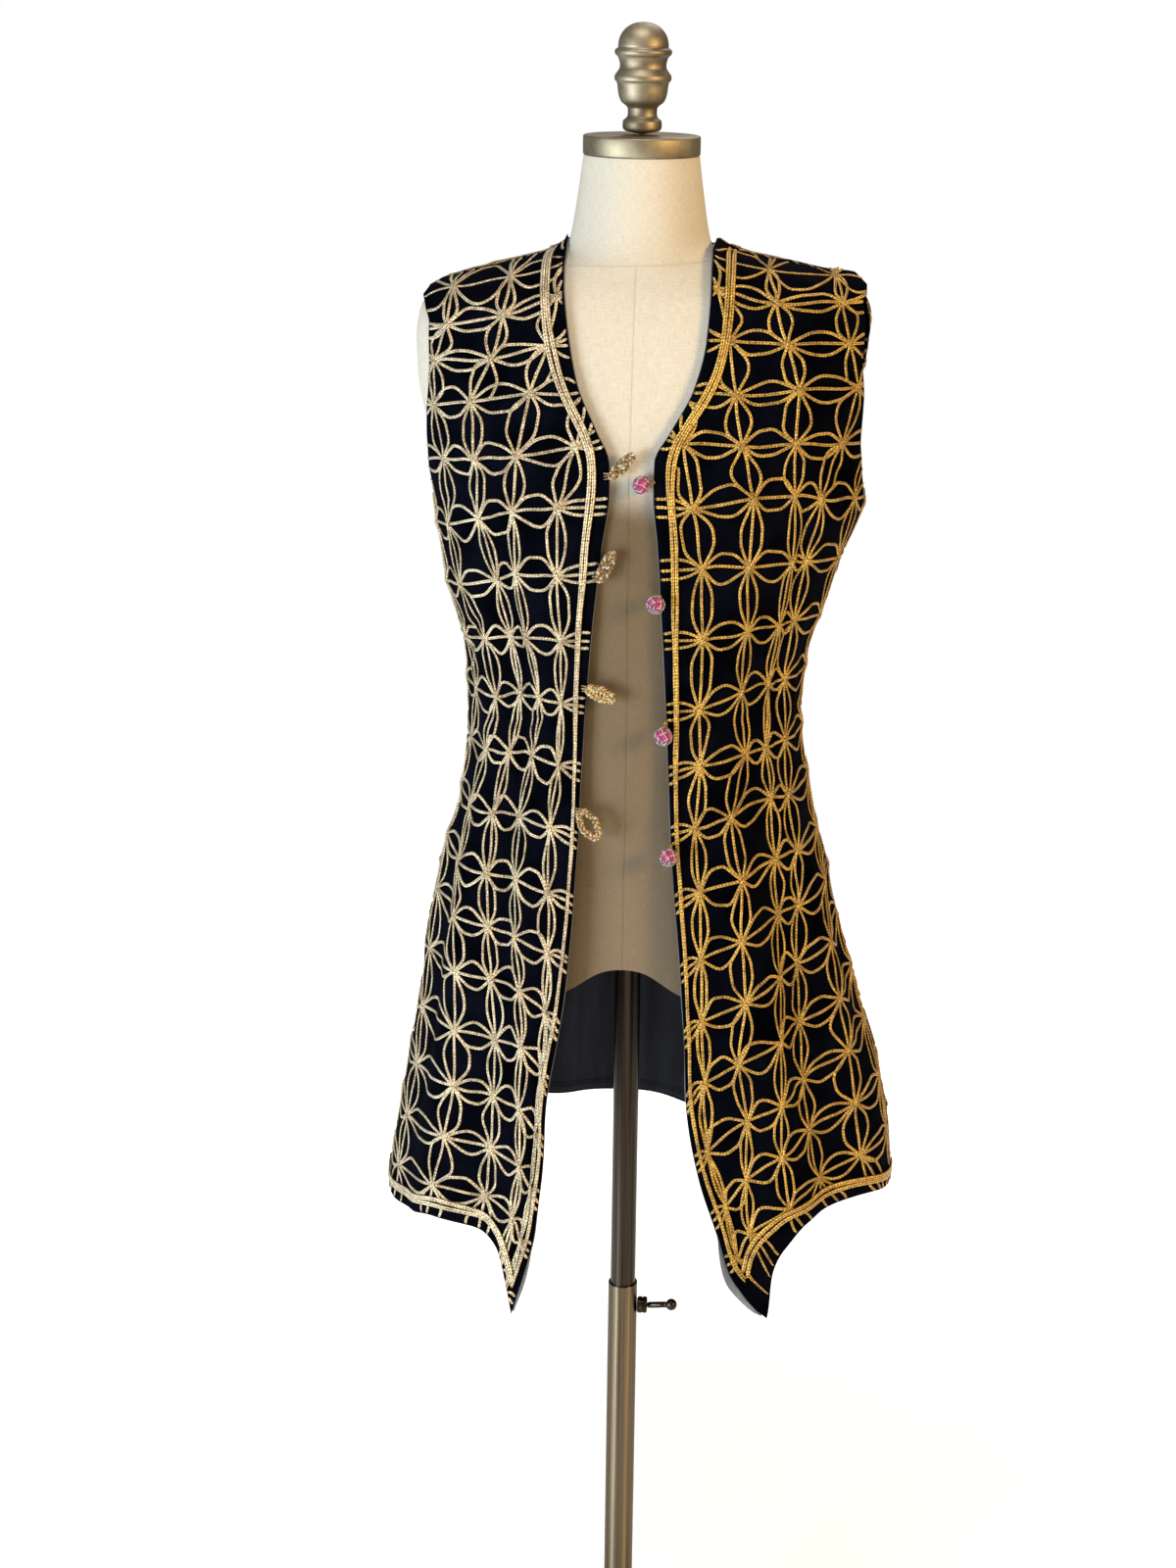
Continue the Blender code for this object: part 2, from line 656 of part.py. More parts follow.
def build_loops(cord):
    for number, (height, pitch) in enumerate(LOOP_ROWS, start=1):
        tilt = math.radians(pitch)
        root = edge_point("right", height) + Vector((-LOOP_INSET, 0.0, 0.0))
        along = Vector((math.cos(tilt), 0.0, math.sin(tilt)))
        across = Vector((-math.sin(tilt), 0.0, math.cos(tilt)))
        points = []
        for k in range(LOOP_POINTS):
            turn = 2 * math.pi * k / LOOP_POINTS
            reach = (LOOP_LENGTH - LOOP_CORD) * (1 - math.cos(turn)) / 2
            wide = (LOOP_WIDTH - LOOP_CORD) / 2 * math.sin(turn)
            point = root + along * reach + across * wide
            point.y = edge_point("right", point.z).y - LOOP_STANDOFF
            points.append(point)
        rod(f"loop_{number}", points, LOOP_CORD / 2, cord, closed=True)


def build_buttons(net):
    for number, row in enumerate(BUTTON_ROWS, start=1):
        button = dict(zip(BUTTON_COLUMNS, row))
        root = edge_point("left", button["height"])
        to_ball = Vector((-button["across"], -button["forward"], -button["drop"]))
        neck_side = math.sqrt(BUTTON_RADIUS**2 - SHANK_RADIUS**2)
        outline = [(0.0, button["shank"]), (SHANK_RADIUS, button["shank"]), (SHANK_RADIUS, neck_side)]
        for k in range(2, 8):
            turn = math.pi * k / 8
            outline.append((BUTTON_RADIUS * math.sin(turn), BUTTON_RADIUS * math.cos(turn)))
        outline.append((0.0, -BUTTON_RADIUS))
        turn_to = (-to_ball).to_track_quat("Z", "Y").to_matrix().to_4x4()
        turned(f"button_{number}", outline, 12, net, Matrix.Translation(root + to_ball) @ turn_to)


# ---- the dress form and its stand ----
def form_edge(angle):
    """Height of the form's lower edge, arched at the front and the back."""
    return FORM_EDGE - FORM_ARCH * math.sin(angle) ** 2


def form_line(height_of):
    """One line round the form; height_of gives the height at an angle."""
    line = []
    for k in range(FORM_SIDES):
        angle = 2 * math.pi * k / FORM_SIDES
        height = height_of(angle)
        radius = ring_radius(form_ring(height), angle)
        line.append(Vector((-radius * math.sin(angle), -radius * math.cos(angle), height)))
    return line


def build_form(linen):
    """A loft through level rings, an arched lower edge and a flat underside."""
    lines = [form_line(lambda a, h=h: h) for h in FORM_HEIGHTS]
    low = FORM_HEIGHTS[-1]
    for share in FORM_SKIRT_SHARES:
        lines.append(form_line(lambda a, s=share: low + s * (form_edge(a) - low)))
    edge = lines[-1]
    flat = [Vector((p.x, p.y, 0)).normalized() * FORM_FLAT_RADIUS for p in edge]
    for share in FORM_UNDERSIDE_SHARES:
        lines.append(
            [p.lerp(Vector((q.x, q.y, FORM_BOARD)), share) for p, q in zip(edge, flat)]
        )
    faces = [tuple(range(FORM_SIDES))[::-1]]
    for j in range(len(lines) - 1):
        for i in range(FORM_SIDES):
            nxt = (i + 1) % FORM_SIDES
            a, b = j * FORM_SIDES, (j + 1) * FORM_SIDES
            faces.append((a + i, a + nxt, b + nxt, b + i))
    faces.append(tuple((len(lines) - 1) * FORM_SIDES + i for i in range(FORM_SIDES)))
    mesh = mesh_from([p for line in lines for p in line], faces, "dress_form")
    mesh.shade_smooth()
    mesh.set_sharp_from_angle(angle=math.radians(40))
    place("dress_form", mesh, linen)


def build_neck_pieces(brass):
    foot = FORM_TOP + SEAM_GAP
    top = foot + CAP_HEIGHT
    cap = [
        (0.0, top),
        (CAP_RADIUS - CAP_RIM, top),
        (CAP_RADIUS, top - CAP_RIM),
        (CAP_RADIUS, foot + CAP_RIM),
        (CAP_RADIUS - CAP_RIM, foot),
        (0.0, foot),
    ]
    turned("neck_cap", cap, 40, brass)
    outline = [(radius, top + SEAM_GAP + rise) for radius, rise in FINIAL_ROWS]
    turned("finial", outline, 20, brass)


def build_stand(steel, brass):
    top = FORM_BOARD - SEAM_GAP
    mast = [(0.0, top), (MAST_RADIUS, top), (MAST_RADIUS, MAST_FOOT), (0.0, MAST_FOOT)]
    turned("mast", mast, 32, steel)
    foot = POCKET_FLOOR + SEAM_GAP
    tube = [
        (TUBE_BORE, TUBE_TOP),
        (TUBE_RADIUS, TUBE_TOP),
        (TUBE_RADIUS, foot),
        (0.0, foot),
        (0.0, foot + TUBE_PLUG),
        (TUBE_BORE, foot + TUBE_PLUG),
        (TUBE_BORE, TUBE_TOP),
    ]
    turned("lower_tube", tube, 32, brass)
    pocket = TUBE_RADIUS + SEAM_GAP
    base = [
        (pocket, BOSS_HEIGHT),
        (BOSS_RADIUS - BOSS_CHAMFER, BOSS_HEIGHT),
        (BOSS_RADIUS, BOSS_HEIGHT - BOSS_CHAMFER),
        (BOSS_RADIUS + BOSS_TAPER, BASE_HEIGHT + BOSS_CHAMFER),
        (BOSS_RADIUS + BOSS_TAPER + BOSS_FILLET, BASE_HEIGHT),
        (BASE_RADIUS - BASE_SLOPE, BASE_EDGE + BASE_CHAMFER),
        (BASE_RADIUS - BASE_CHAMFER, BASE_EDGE),
        (BASE_RADIUS, BASE_EDGE - BASE_CHAMFER),
        (BASE_RADIUS, BASE_FOOT_CHAMFER),
        (BASE_RADIUS - BASE_FOOT_CHAMFER, 0.0),
        (0.0, 0.0),
        (0.0, POCKET_FLOOR),
        (pocket, POCKET_FLOOR),
        (pocket, BOSS_HEIGHT),
    ]
    turned("base", base, 44, brass)


def build_clamp(steel):
    along_x = Matrix.Rotation(math.pi / 2, 4, "Y")
    start = TUBE_RADIUS + SEAM_GAP
    hub = [
        (0.0, CLAMP_HUB_LENGTH),
        (CLAMP_HUB_RADIUS - CLAMP_HUB_CHAMFER, CLAMP_HUB_LENGTH),
        (CLAMP_HUB_RADIUS, CLAMP_HUB_LENGTH - CLAMP_HUB_CHAMFER),
        (CLAMP_HUB_RADIUS, CLAMP_HUB_CHAMFER),
        (CLAMP_HUB_RADIUS - CLAMP_HUB_CHAMFER, 0.0),
        (0.0, 0.0),
    ]
    turned("clamp_hub", hub, 20, steel, Matrix.Translation((start, 0.0, CLAMP_HEIGHT)) @ along_x)
    ball = Vector((start + CLAMP_REACH, -CLAMP_FORWARD, CLAMP_HEIGHT + CLAMP_RISE))
    hub_end = Vector((start + CLAMP_HUB_LENGTH + 3 * SEAM_GAP, 0.0, CLAMP_HEIGHT))
    straight = hub_end + Vector((CLAMP_BAR_RADIUS, 0.0, 0.0))
    middle = hub_end.lerp(ball, 0.5) + Vector((0.002, 0.002, -0.001))
    route = smooth_route([hub_end, straight, middle, ball], 12)
    bar = [p for p in route if (p - ball).length > 2 * CLAMP_BALL]
    bar.append(ball + (bar[-1] - ball).normalized() * (CLAMP_BALL + SEAM_GAP))
    rod("clamp_bar", bar, CLAMP_BAR_RADIUS, steel, resolution=2)
    sphere = [
        (CLAMP_BALL * math.sin(math.pi * k / 10), CLAMP_BALL * math.cos(math.pi * k / 10))
        for k in range(1, 10)
    ]
    sphere = [(0.0, CLAMP_BALL)] + sphere + [(0.0, -CLAMP_BALL)]
    turned("clamp_ball", sphere, 16, steel, Matrix.Translation(ball))


def main():
    clear_scene()
    bpy.context.scene.collection.children.link(bpy.data.collections.new(COLLECTION))
    velvet = finish_material("velvet", (0.012, 0.013, 0.022), 0.9)
    lining = finish_material("lining", (0.07, 0.08, 0.10), 0.6)
    braid = finish_material("gold_braid", (0.62, 0.42, 0.14), 0.42, 0.7)
    net = finish_material("netted_thread", (0.72, 0.30, 0.38), 0.7)
    linen = finish_material("linen", (0.80, 0.75, 0.64), 0.85)
    brass = finish_material("antique_brass", (0.34, 0.27, 0.16), 0.35, 1.0)
    steel = finish_material("dark_tube", (0.17, 0.14, 0.11), 0.35, 1.0)
    for side in SIGN:
        build_front(side, velvet, lining, braid)
    build_back(velvet, lining, braid)
    build_neck_band(braid)
    build_loops(braid)
    build_buttons(net)
    build_form(linen)
    build_neck_pieces(brass)
    build_stand(steel, brass)
    build_clamp(steel)


main()
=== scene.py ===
import math

import bmesh
import bpy
import numpy as np
from mathutils import Matrix, Vector


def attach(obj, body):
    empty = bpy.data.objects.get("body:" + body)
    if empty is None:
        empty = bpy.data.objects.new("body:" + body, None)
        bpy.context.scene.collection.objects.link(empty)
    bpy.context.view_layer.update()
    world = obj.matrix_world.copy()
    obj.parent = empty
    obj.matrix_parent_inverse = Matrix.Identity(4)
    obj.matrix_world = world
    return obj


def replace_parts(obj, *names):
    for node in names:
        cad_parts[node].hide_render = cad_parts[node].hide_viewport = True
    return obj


# An embroidered folk vest, open down the front, on a dress form with a telescopic stand.
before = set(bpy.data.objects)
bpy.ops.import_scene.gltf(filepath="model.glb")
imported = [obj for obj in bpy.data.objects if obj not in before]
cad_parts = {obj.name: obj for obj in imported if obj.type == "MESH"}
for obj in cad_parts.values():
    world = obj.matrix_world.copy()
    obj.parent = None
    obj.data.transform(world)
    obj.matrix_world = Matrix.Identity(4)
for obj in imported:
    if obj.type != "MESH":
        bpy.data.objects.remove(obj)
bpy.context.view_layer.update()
noiseSource = np.random.default_rng(11)


# Camera, light and floor.
cameraSet = {
    "distance": 2.275,
    "height": 1.733,
    "azimuth": math.radians(2.5),
    "pitch": math.radians(13.7),
    "roll": math.radians(0.96),
    "lens": 58.5,
    "sensor": 36.0,
    "shift": (-0.0297, -0.13),
}


def makeCamera():
    data = bpy.data.cameras.new("camera")
    data.lens = cameraSet["lens"]
    data.sensor_width = cameraSet["sensor"]
    data.sensor_fit = "AUTO"
    data.shift_x, data.shift_y = cameraSet["shift"]
    azimuth, pitch = cameraSet["azimuth"], cameraSet["pitch"]
    forward = Vector(
        (-math.sin(azimuth) * math.cos(pitch), math.cos(azimuth) * math.cos(pitch), -math.sin(pitch))
    )
    level = Vector((math.cos(azimuth), math.sin(azimuth), 0.0))
    upright = level.cross(forward)
    turn = cameraSet["roll"]
    across = level * math.cos(turn) + upright * math.sin(turn)
    up = upright * math.cos(turn) - level * math.sin(turn)
    camera = bpy.data.objects.new("camera", data)
    bpy.context.scene.collection.objects.link(camera)
    turned = Matrix((across, up, -forward)).transposed().to_4x4()
    at = Vector(
        (
            cameraSet["distance"] * math.sin(azimuth),
            -cameraSet["distance"] * math.cos(azimuth),
            cameraSet["height"],
        )
    )
    camera.matrix_world = Matrix.Translation(at) @ turned
    bpy.context.scene.camera = camera


lights = {
    # name: place, aimed at, size, power in watts, colour
    "overhead": ((-0.12, -0.60, 3.05), (0.0, -0.05, 1.3), 0.8, 25.0, (1.0, 0.97, 0.93)),
    "windowSide": ((-1.8, -1.6, 0.95), (0.0, 0.0, 0.84), 1.2, 104.0, (0.82, 0.92, 1.0)),
    "lampSide": ((2.1, -1.5, 2.0), (0.1, 0.0, 1.16), 0.8, 86.0, (1.0, 0.69, 0.33)),
    "lowFill": ((-0.2, -2.8, 0.9), (0.0, 0.0, 0.8), 1.4, 5.0, (1.0, 0.95, 0.88)),
    "behind": ((0.5, 1.7, 3.4), (0.0, 0.0, 1.1), 1.2, 24.0, (1.0, 0.98, 0.96)),
}


def makeLights():
    for name, (place, target, size, power, colour) in lights.items():
        data = bpy.data.lights.new(name, "AREA")
        data.size = size
        data.energy = power
        data.color = colour
        light = bpy.data.objects.new(name, data)
        light.location = place
        light.rotation_euler = (Vector(target) - Vector(place)).to_track_quat("-Z", "Y").to_euler()
        bpy.context.scene.collection.objects.link(light)
    world = bpy.data.worlds.new("studio")
    bpy.context.scene.world = world
    world.use_nodes = True
    background = world.node_tree.nodes["Background"]
    background.inputs["Color"].default_value = (1.0, 0.995, 0.985, 1.0)
    background.inputs["Strength"].default_value = 0.20
    # The ground and sky read as white while their light on the cloth stays low.
    seen = world.node_tree.nodes.new("ShaderNodeBackground")
    seen.inputs["Color"].default_value = (1.0, 1.0, 1.0, 1.0)
    seen.inputs["Strength"].default_value = 1.0
    path = world.node_tree.nodes.new("ShaderNodeLightPath")
    blend = world.node_tree.nodes.new("ShaderNodeMixShader")
    links = world.node_tree.links
    links.new(path.outputs["Is Camera Ray"], blend.inputs[0])
    links.new(background.outputs[0], blend.inputs[1])
    links.new(seen.outputs[0], blend.inputs[2])
    links.new(blend.outputs[0], world.node_tree.nodes["World Output"].inputs["Surface"])
    bpy.context.scene.view_settings.view_transform = "Standard"


floorSet = {
    "radius": 2.3,
    "sides": 128,
    "glowFrom": 0.275,  # shares of the radius between which it grows bright, and how dim it starts
    "glowTo": 0.60,
    "dim": 0.22,
}


# A pale disc that grows as bright as the ground beyond it toward its rim.
def makeFloor():
    mesh = bpy.data.meshes.new("floor")
    turns = [2 * math.pi * k / floorSet["sides"] for k in range(floorSet["sides"])]
    rim = [(floorSet["radius"] * math.cos(t), floorSet["radius"] * math.sin(t), 0.0) for t in turns]
    mesh.from_pydata(rim, [], [tuple(range(len(rim)))])
    floor = bpy.data.objects.new("floor", mesh)
    bpy.context.scene.collection.objects.link(floor)
    finish, nodes = newFinish("paleFloor", (0.93, 0.93, 0.92), 0.9)
    grain = texture(nodes, "Noise", scale=40.0, detail=4.0)
    tint(nodes, grain, (0.90, 0.90, 0.89), (0.92, 0.92, 0.91))
    away = nodes.nodes.new("ShaderNodeVectorMath")
    away.operation = "LENGTH"
    nodes.links.new(coordinates(nodes), away.inputs[0])
    share = sums(nodes, "DIVIDE", away.outputs["Value"], floorSet["radius"])
    glow = ramp(nodes, share, (floorSet["glowFrom"], floorSet["dim"]), (floorSet["glowTo"], 1.0))
    nodes.links.new(glow, nodes.nodes["Principled BSDF"].inputs["Emission Color"])
    setShader(nodes, Emission_Strength=0.9, Specular_IOR_Level=0.0)
    mesh.materials.append(finish)


# Finishes.
def newFinish(name, colour, roughness, metallic=0.0):
    material = bpy.data.materials.new(name)
    material.use_nodes = True
    nodes = material.node_tree
    shader = nodes.nodes["Principled BSDF"]
    shader.inputs["Base Color"].default_value = (*colour, 1.0)
    shader.inputs["Roughness"].default_value = roughness
    shader.inputs["Metallic"].default_value = metallic
    return material, nodes


def setShader(nodes, **values):
    shader = nodes.nodes["Principled BSDF"]
    for name, value in values.items():
        socket = shader.inputs[name.replace("_", " ")]
        socket.default_value = (*value, 1.0) if isinstance(value, tuple) else value


def coordinates(nodes, kind="Object", stretch=(1.0, 1.0, 1.0)):
    source = nodes.nodes.new("ShaderNodeTexCoord")
    mapping = nodes.nodes.new("ShaderNodeMapping")
    mapping.inputs["Scale"].default_value = stretch
    nodes.links.new(source.outputs[kind], mapping.inputs["Vector"])
    return mapping.outputs["Vector"]


def texture(nodes, kind, where=None, **values):
    node = nodes.nodes.new("ShaderNodeTex" + kind)
    for name, value in values.items():
        socket = node.inputs.get(name.replace("_", " ").title())
        if socket is not None:
            socket.default_value = value
        else:
            setattr(node, name, value)
    nodes.links.new(where or coordinates(nodes), node.inputs["Vector"])
    return node.outputs[0]


# A colour ramp; each stop is (place, colour or grey).
def ramp(nodes, value, *stops):
    node = nodes.nodes.new("ShaderNodeValToRGB")
    elements = node.color_ramp.elements
    while len(elements) < len(stops):
        elements.new(0.5)
    for element, (place, colour) in zip(elements, stops):
        element.position = place
        shade = colour if isinstance(colour, tuple) else (colour, colour, colour)
        element.color = (*shade, 1.0)
    nodes.links.new(value, node.inputs["Fac"])
    return node.outputs["Color"]


def mixed(nodes, factor, first, second, blend="MIX"):
    node = nodes.nodes.new("ShaderNodeMix")
    node.data_type = "RGBA"
    node.blend_type = blend
    for socket, value in ((node.inputs["Factor"], factor), (node.inputs[6], first), (node.inputs[7], second)):
        if isinstance(value, bpy.types.NodeSocket):
            nodes.links.new(value, socket)
        elif isinstance(value, tuple):
            socket.default_value = (*value, 1.0)
        else:
            socket.default_value = value
    return node.outputs[2]


def sums(nodes, operation, first, second):
    node = nodes.nodes.new("ShaderNodeMath")
    node.operation = operation
    for socket, value in zip(node.inputs, (first, second)):
        if isinstance(value, bpy.types.NodeSocket):
            nodes.links.new(value, socket)
        else:
            socket.default_value = value
    return node.outputs[0]


def colourBy(nodes, colour):
    nodes.links.new(colour, nodes.nodes["Principled BSDF"].inputs["Base Color"])


# Colours the surface between two shades by a texture's value.
def tint(nodes, value, dark, light, low=0.35, high=0.65):
    colourBy(nodes, ramp(nodes, value, (low, dark), (high, light)))


def roughBy(nodes, value, low, high):
    spread = nodes.nodes.new("ShaderNodeMapRange")
    spread.inputs["To Min"].default_value = low
    spread.inputs["To Max"].default_value = high
    nodes.links.new(value, spread.inputs["Value"])
    nodes.links.new(spread.outputs["Result"], nodes.nodes["Principled BSDF"].inputs["Roughness"])


def bump(nodes, value, strength, depth):
    node = nodes.nodes.new("ShaderNodeBump")
    node.inputs["Strength"].default_value = strength
    node.inputs["Distance"].default_value = depth
    nodes.links.new(value, node.inputs["Height"])
    shader = nodes.nodes["Principled BSDF"]
    before = shader.inputs["Normal"].links
    if before:
        nodes.links.new(before[0].from_socket, node.inputs["Normal"])
    nodes.links.new(node.outputs["Normal"], shader.inputs["Normal"])


def velvetFinish():
    material, nodes = newFinish("velvet", (0.004, 0.0045, 0.008), 0.92)
    setShader(nodes, Sheen_Weight=0.005, Sheen_Roughness=0.35, Sheen_Tint=(0.35, 0.50, 1.0))
    setShader(nodes, Specular_IOR_Level=0.01)
    stroked = texture(nodes, "Noise", scale=22.0, detail=5.0, roughness=0.6)
    tint(nodes, stroked, (0.0001, 0.0002, 0.0007), (0.0013, 0.0017, 0.0040))
    nap = texture(nodes, "Noise", scale=1900.0, detail=2.0)
    bump(nodes, nap, 0.5, 0.0006)
    return material


def liningFinish(name, dark, light):
    material, nodes = newFinish(name, light, 0.6)
    setShader(nodes, Specular_IOR_Level=0.10)
    upright = coordinates(nodes, stretch=(1.0, 1.0, 0.10))
    streaks = texture(nodes, "Noise", where=upright, scale=44.0, detail=3.0)
    tint(nodes, streaks, dark, light)
    weave = texture(nodes, "Wave", scale=900.0)
    bump(nodes, weave, 0.25, 0.0002)
    return material


braidShade = {
    "slant": 3.6,  # how far the stitches lean over the width of a ply
    "inner": 4.5,  # how steeply the plies rise from the middle and from the sides
    "outer": 3.5,
    "soft": 0.3,
    "stitchShare": 0.62,
    "worn": (0.50, 0.46, 0.42),
    "relief": 0.0009,
    "grain": 0.0005,
}


# Flat gold braid: two plies in a herringbone, with worn and tarnished stretches.
def braidFinish(name, dark, middle, light, twist=330.0):
    material, nodes = newFinish(name, middle, 0.40, 0.45)
    setShader(nodes, Specular_IOR_Level=0.6)
    source = nodes.nodes.new("ShaderNodeTexCoord")
    parts = nodes.nodes.new("ShaderNodeSeparateXYZ")
    nodes.links.new(source.outputs["UV"], parts.inputs["Vector"])
    along, across = parts.outputs["X"], parts.outputs["Y"]
    half = sums(nodes, "ABSOLUTE", across, 0.0)
    turns = sums(nodes, "MULTIPLY", along, twist * 2 * math.pi)
    slanted = sums(nodes, "ADD", turns, sums(nodes, "MULTIPLY", half, braidShade["slant"]))
    stitch = sums(nodes, "MULTIPLY_ADD", sums(nodes, "SINE", slanted, 0.0), 0.5)
    stitch.node.inputs[2].default_value = 0.5
    # the two plies part along the middle and roll under at the sides
    inner = sums(nodes, "SMOOTH_MIN", sums(nodes, "MULTIPLY", half, braidShade["inner"]), 1.0)
    fromSide = sums(nodes, "SUBTRACT", 1.0, half)
    outer = sums(nodes, "SMOOTH_MIN", sums(nodes, "MULTIPLY", fromSide, braidShade["outer"]), 1.0)
    for side in (inner, outer):
        side.node.inputs[2].default_value = braidShade["soft"]
    ply = sums(nodes, "MULTIPLY", inner, outer)
    stitched = sums(nodes, "MULTIPLY", stitch, braidShade["stitchShare"])
    relief = sums(nodes, "MULTIPLY", sums(nodes, "ADD", stitched, 1 - braidShade["stitchShare"]), ply)
    worn = texture(nodes, "Noise", scale=62.0, detail=4.0, roughness=0.7)
    # Painted shade and highlight: the colour is dark where the plies part, roll under and dip between
    # stitches, and light on their crests.
    colour = ramp(nodes, relief, (0.05, dark), (0.50, middle), (0.95, light))
    patches = ramp(nodes, worn, (0.30, braidShade["worn"]), (0.60, (1.0, 1.0, 1.0)))
    specks = texture(nodes, "Noise", scale=520.0, detail=3.0, roughness=0.7)
    glitter = ramp(nodes, specks, (0.37, 0.26), (0.51, 0.84), (0.63, 1.0))
    tarnished = mixed(nodes, 1.0, colour, patches, "MULTIPLY")
    colourBy(nodes, mixed(nodes, 1.0, tarnished, glitter, "MULTIPLY"))
    roughBy(nodes, worn, 0.28, 0.50)
    bump(nodes, relief, 0.9, braidShade["relief"])
    bump(nodes, specks, 0.45, braidShade["grain"])
    return material


linenShade = {
    "threads": ((0.34, (0.335, 0.305, 0.245)), (0.50, (0.40, 0.365, 0.30)), (0.66, (0.445, 0.41, 0.345))),
    "seam": (0.27, 0.23, 0.17),
    # painted shade: below the height where the fronts close over it the cloth is painted darker, for the
    # shade under the bust
    "from": 1.262,
    "to": 1.312,
    "lean": 0.22,
    "ragged": 0.012,
    "paintedShade": (0.310, 0.250, 0.190),
    "deepest": (0.70, 0.67, 0.57),  # more painted shade, deepest at the top of the shaded part
    "deepFrom": 0.90,
    "deepTo": 1.23,
}


# Runs from 0 to 1 as a value goes from one place to another.
def between(nodes, value, low, high, kind="LINEAR"):
    spread = nodes.nodes.new("ShaderNodeMapRange")
    spread.interpolation_type = kind
    spread.inputs["From Min"].default_value = low
    spread.inputs["From Max"].default_value = high
    nodes.links.new(value, spread.inputs["Value"])
    return spread.outputs["Result"]


def linenFinish():
    material, nodes = newFinish("linen", (0.80, 0.73, 0.60), 0.86)
    setShader(nodes, Sheen_Weight=0.04, Specular_IOR_Level=0.2)
    warp, weft = [
        texture(nodes, "Noise", where=coordinates(nodes, "UV", stretch), scale=1.0, detail=3.0)
        for stretch in ((1250.0, 110.0, 1.0), (90.0, 1350.0, 1.0))
    ]
    threads = mixed(nodes, 0.5, warp, weft)
    shade = ramp(nodes, threads, *linenShade["threads"])
    seam = nodes.nodes.new("ShaderNodeAttribute")
    seam.attribute_name = "seam"
    seamShade = mixed(nodes, seam.outputs["Fac"], shade, linenShade["seam"])
    # Painted shade under the bust: below a soft, ragged, leaning line the cloth is multiplied darker, and
    # darker still toward the bust.
    place = nodes.nodes.new("ShaderNodeSeparateXYZ")
    nodes.links.new(coordinates(nodes), place.inputs["Vector"])
    slub = texture(nodes, "Noise", scale=9.0, detail=3.0)
    lean = sums(nodes, "MULTIPLY", place.outputs["X"], linenShade["lean"])
    leaning = sums(nodes, "ADD", place.outputs["Z"], lean)
    rise = sums(nodes, "ADD", leaning, sums(nodes, "MULTIPLY", slub, linenShade["ragged"]))
    unshaded = between(nodes, rise, linenShade["from"], linenShade["to"], "SMOOTHSTEP")
    deep = between(nodes, place.outputs["Z"], linenShade["deepFrom"], linenShade["deepTo"])
    deepened = mixed(nodes, deep, (1.0, 1.0, 1.0), linenShade["deepest"])
    brown = mixed(nodes, 1.0, deepened, linenShade["paintedShade"], "MULTIPLY")
    paintedShade = mixed(nodes, unshaded, brown, (1.0, 1.0, 1.0))
    patches = ramp(nodes, slub, (0.3, 0.94), (0.7, 1.0))
    # Random patches of tone, multiplied by the painted shade.
    worn = mixed(nodes, 1.0, patches, paintedShade, "MULTIPLY")
    colourBy(nodes, mixed(nodes, 1.0, seamShade, worn, "MULTIPLY"))
    bump(nodes, threads, 0.30, 0.0004)
    return material


# Antique brass with a brown patina, turned on a lathe.
def brassFinish(name, dark, light, low, high):
    material, nodes = newFinish(name, light, 0.3, 1.0)
    setShader(nodes, Coat_Weight=0.04, Coat_Roughness=0.30)
    patina = texture(nodes, "Noise", scale=26.0, detail=6.0, roughness=0.65)
    colourBy(nodes, ramp(nodes, patina, (0.32, dark), (0.66, light)))
    turned = coordinates(nodes, stretch=(6.0, 6.0, 700.0))
    rings = texture(nodes, "Noise", where=turned, scale=1.0, detail=3.0)
    roughBy(nodes, patina, low, high)
    bump(nodes, rings, 0.12, 0.0003)
    pits = texture(nodes, "Noise", scale=210.0, detail=4.0)
    bump(nodes, pits, 0.22, 0.0005)
    return material


# Drawn tube, brushed round, so that its highlights run along it.
def tubeFinish(name, dark, light, low, high, brushed=0.0):
    material, nodes = newFinish(name, light, 0.34, 1.0)
    setShader(nodes, Anisotropic=brushed, Anisotropic_Rotation=0.25)
    drawn = coordinates(nodes, stretch=(420.0, 420.0, 3.0))
    streaks = texture(nodes, "Noise", where=drawn, scale=1.0, detail=3.0)
    colourBy(nodes, ramp(nodes, streaks, (0.3, dark), (0.7, light)))
    roughBy(nodes, streaks, low, high)
    bump(nodes, streaks, 0.12, 0.0002)
    return material


def threadFinish(name, dark, light):
    material, nodes = newFinish(name, light, 0.72)
    setShader(nodes, Sheen_Weight=0.3, Specular_IOR_Level=0.25)
    fibre = texture(nodes, "Noise", scale=700.0, detail=3.0)
    tint(nodes, fibre, dark, light)
    bump(nodes, fibre, 0.6, 0.0004)
    return material


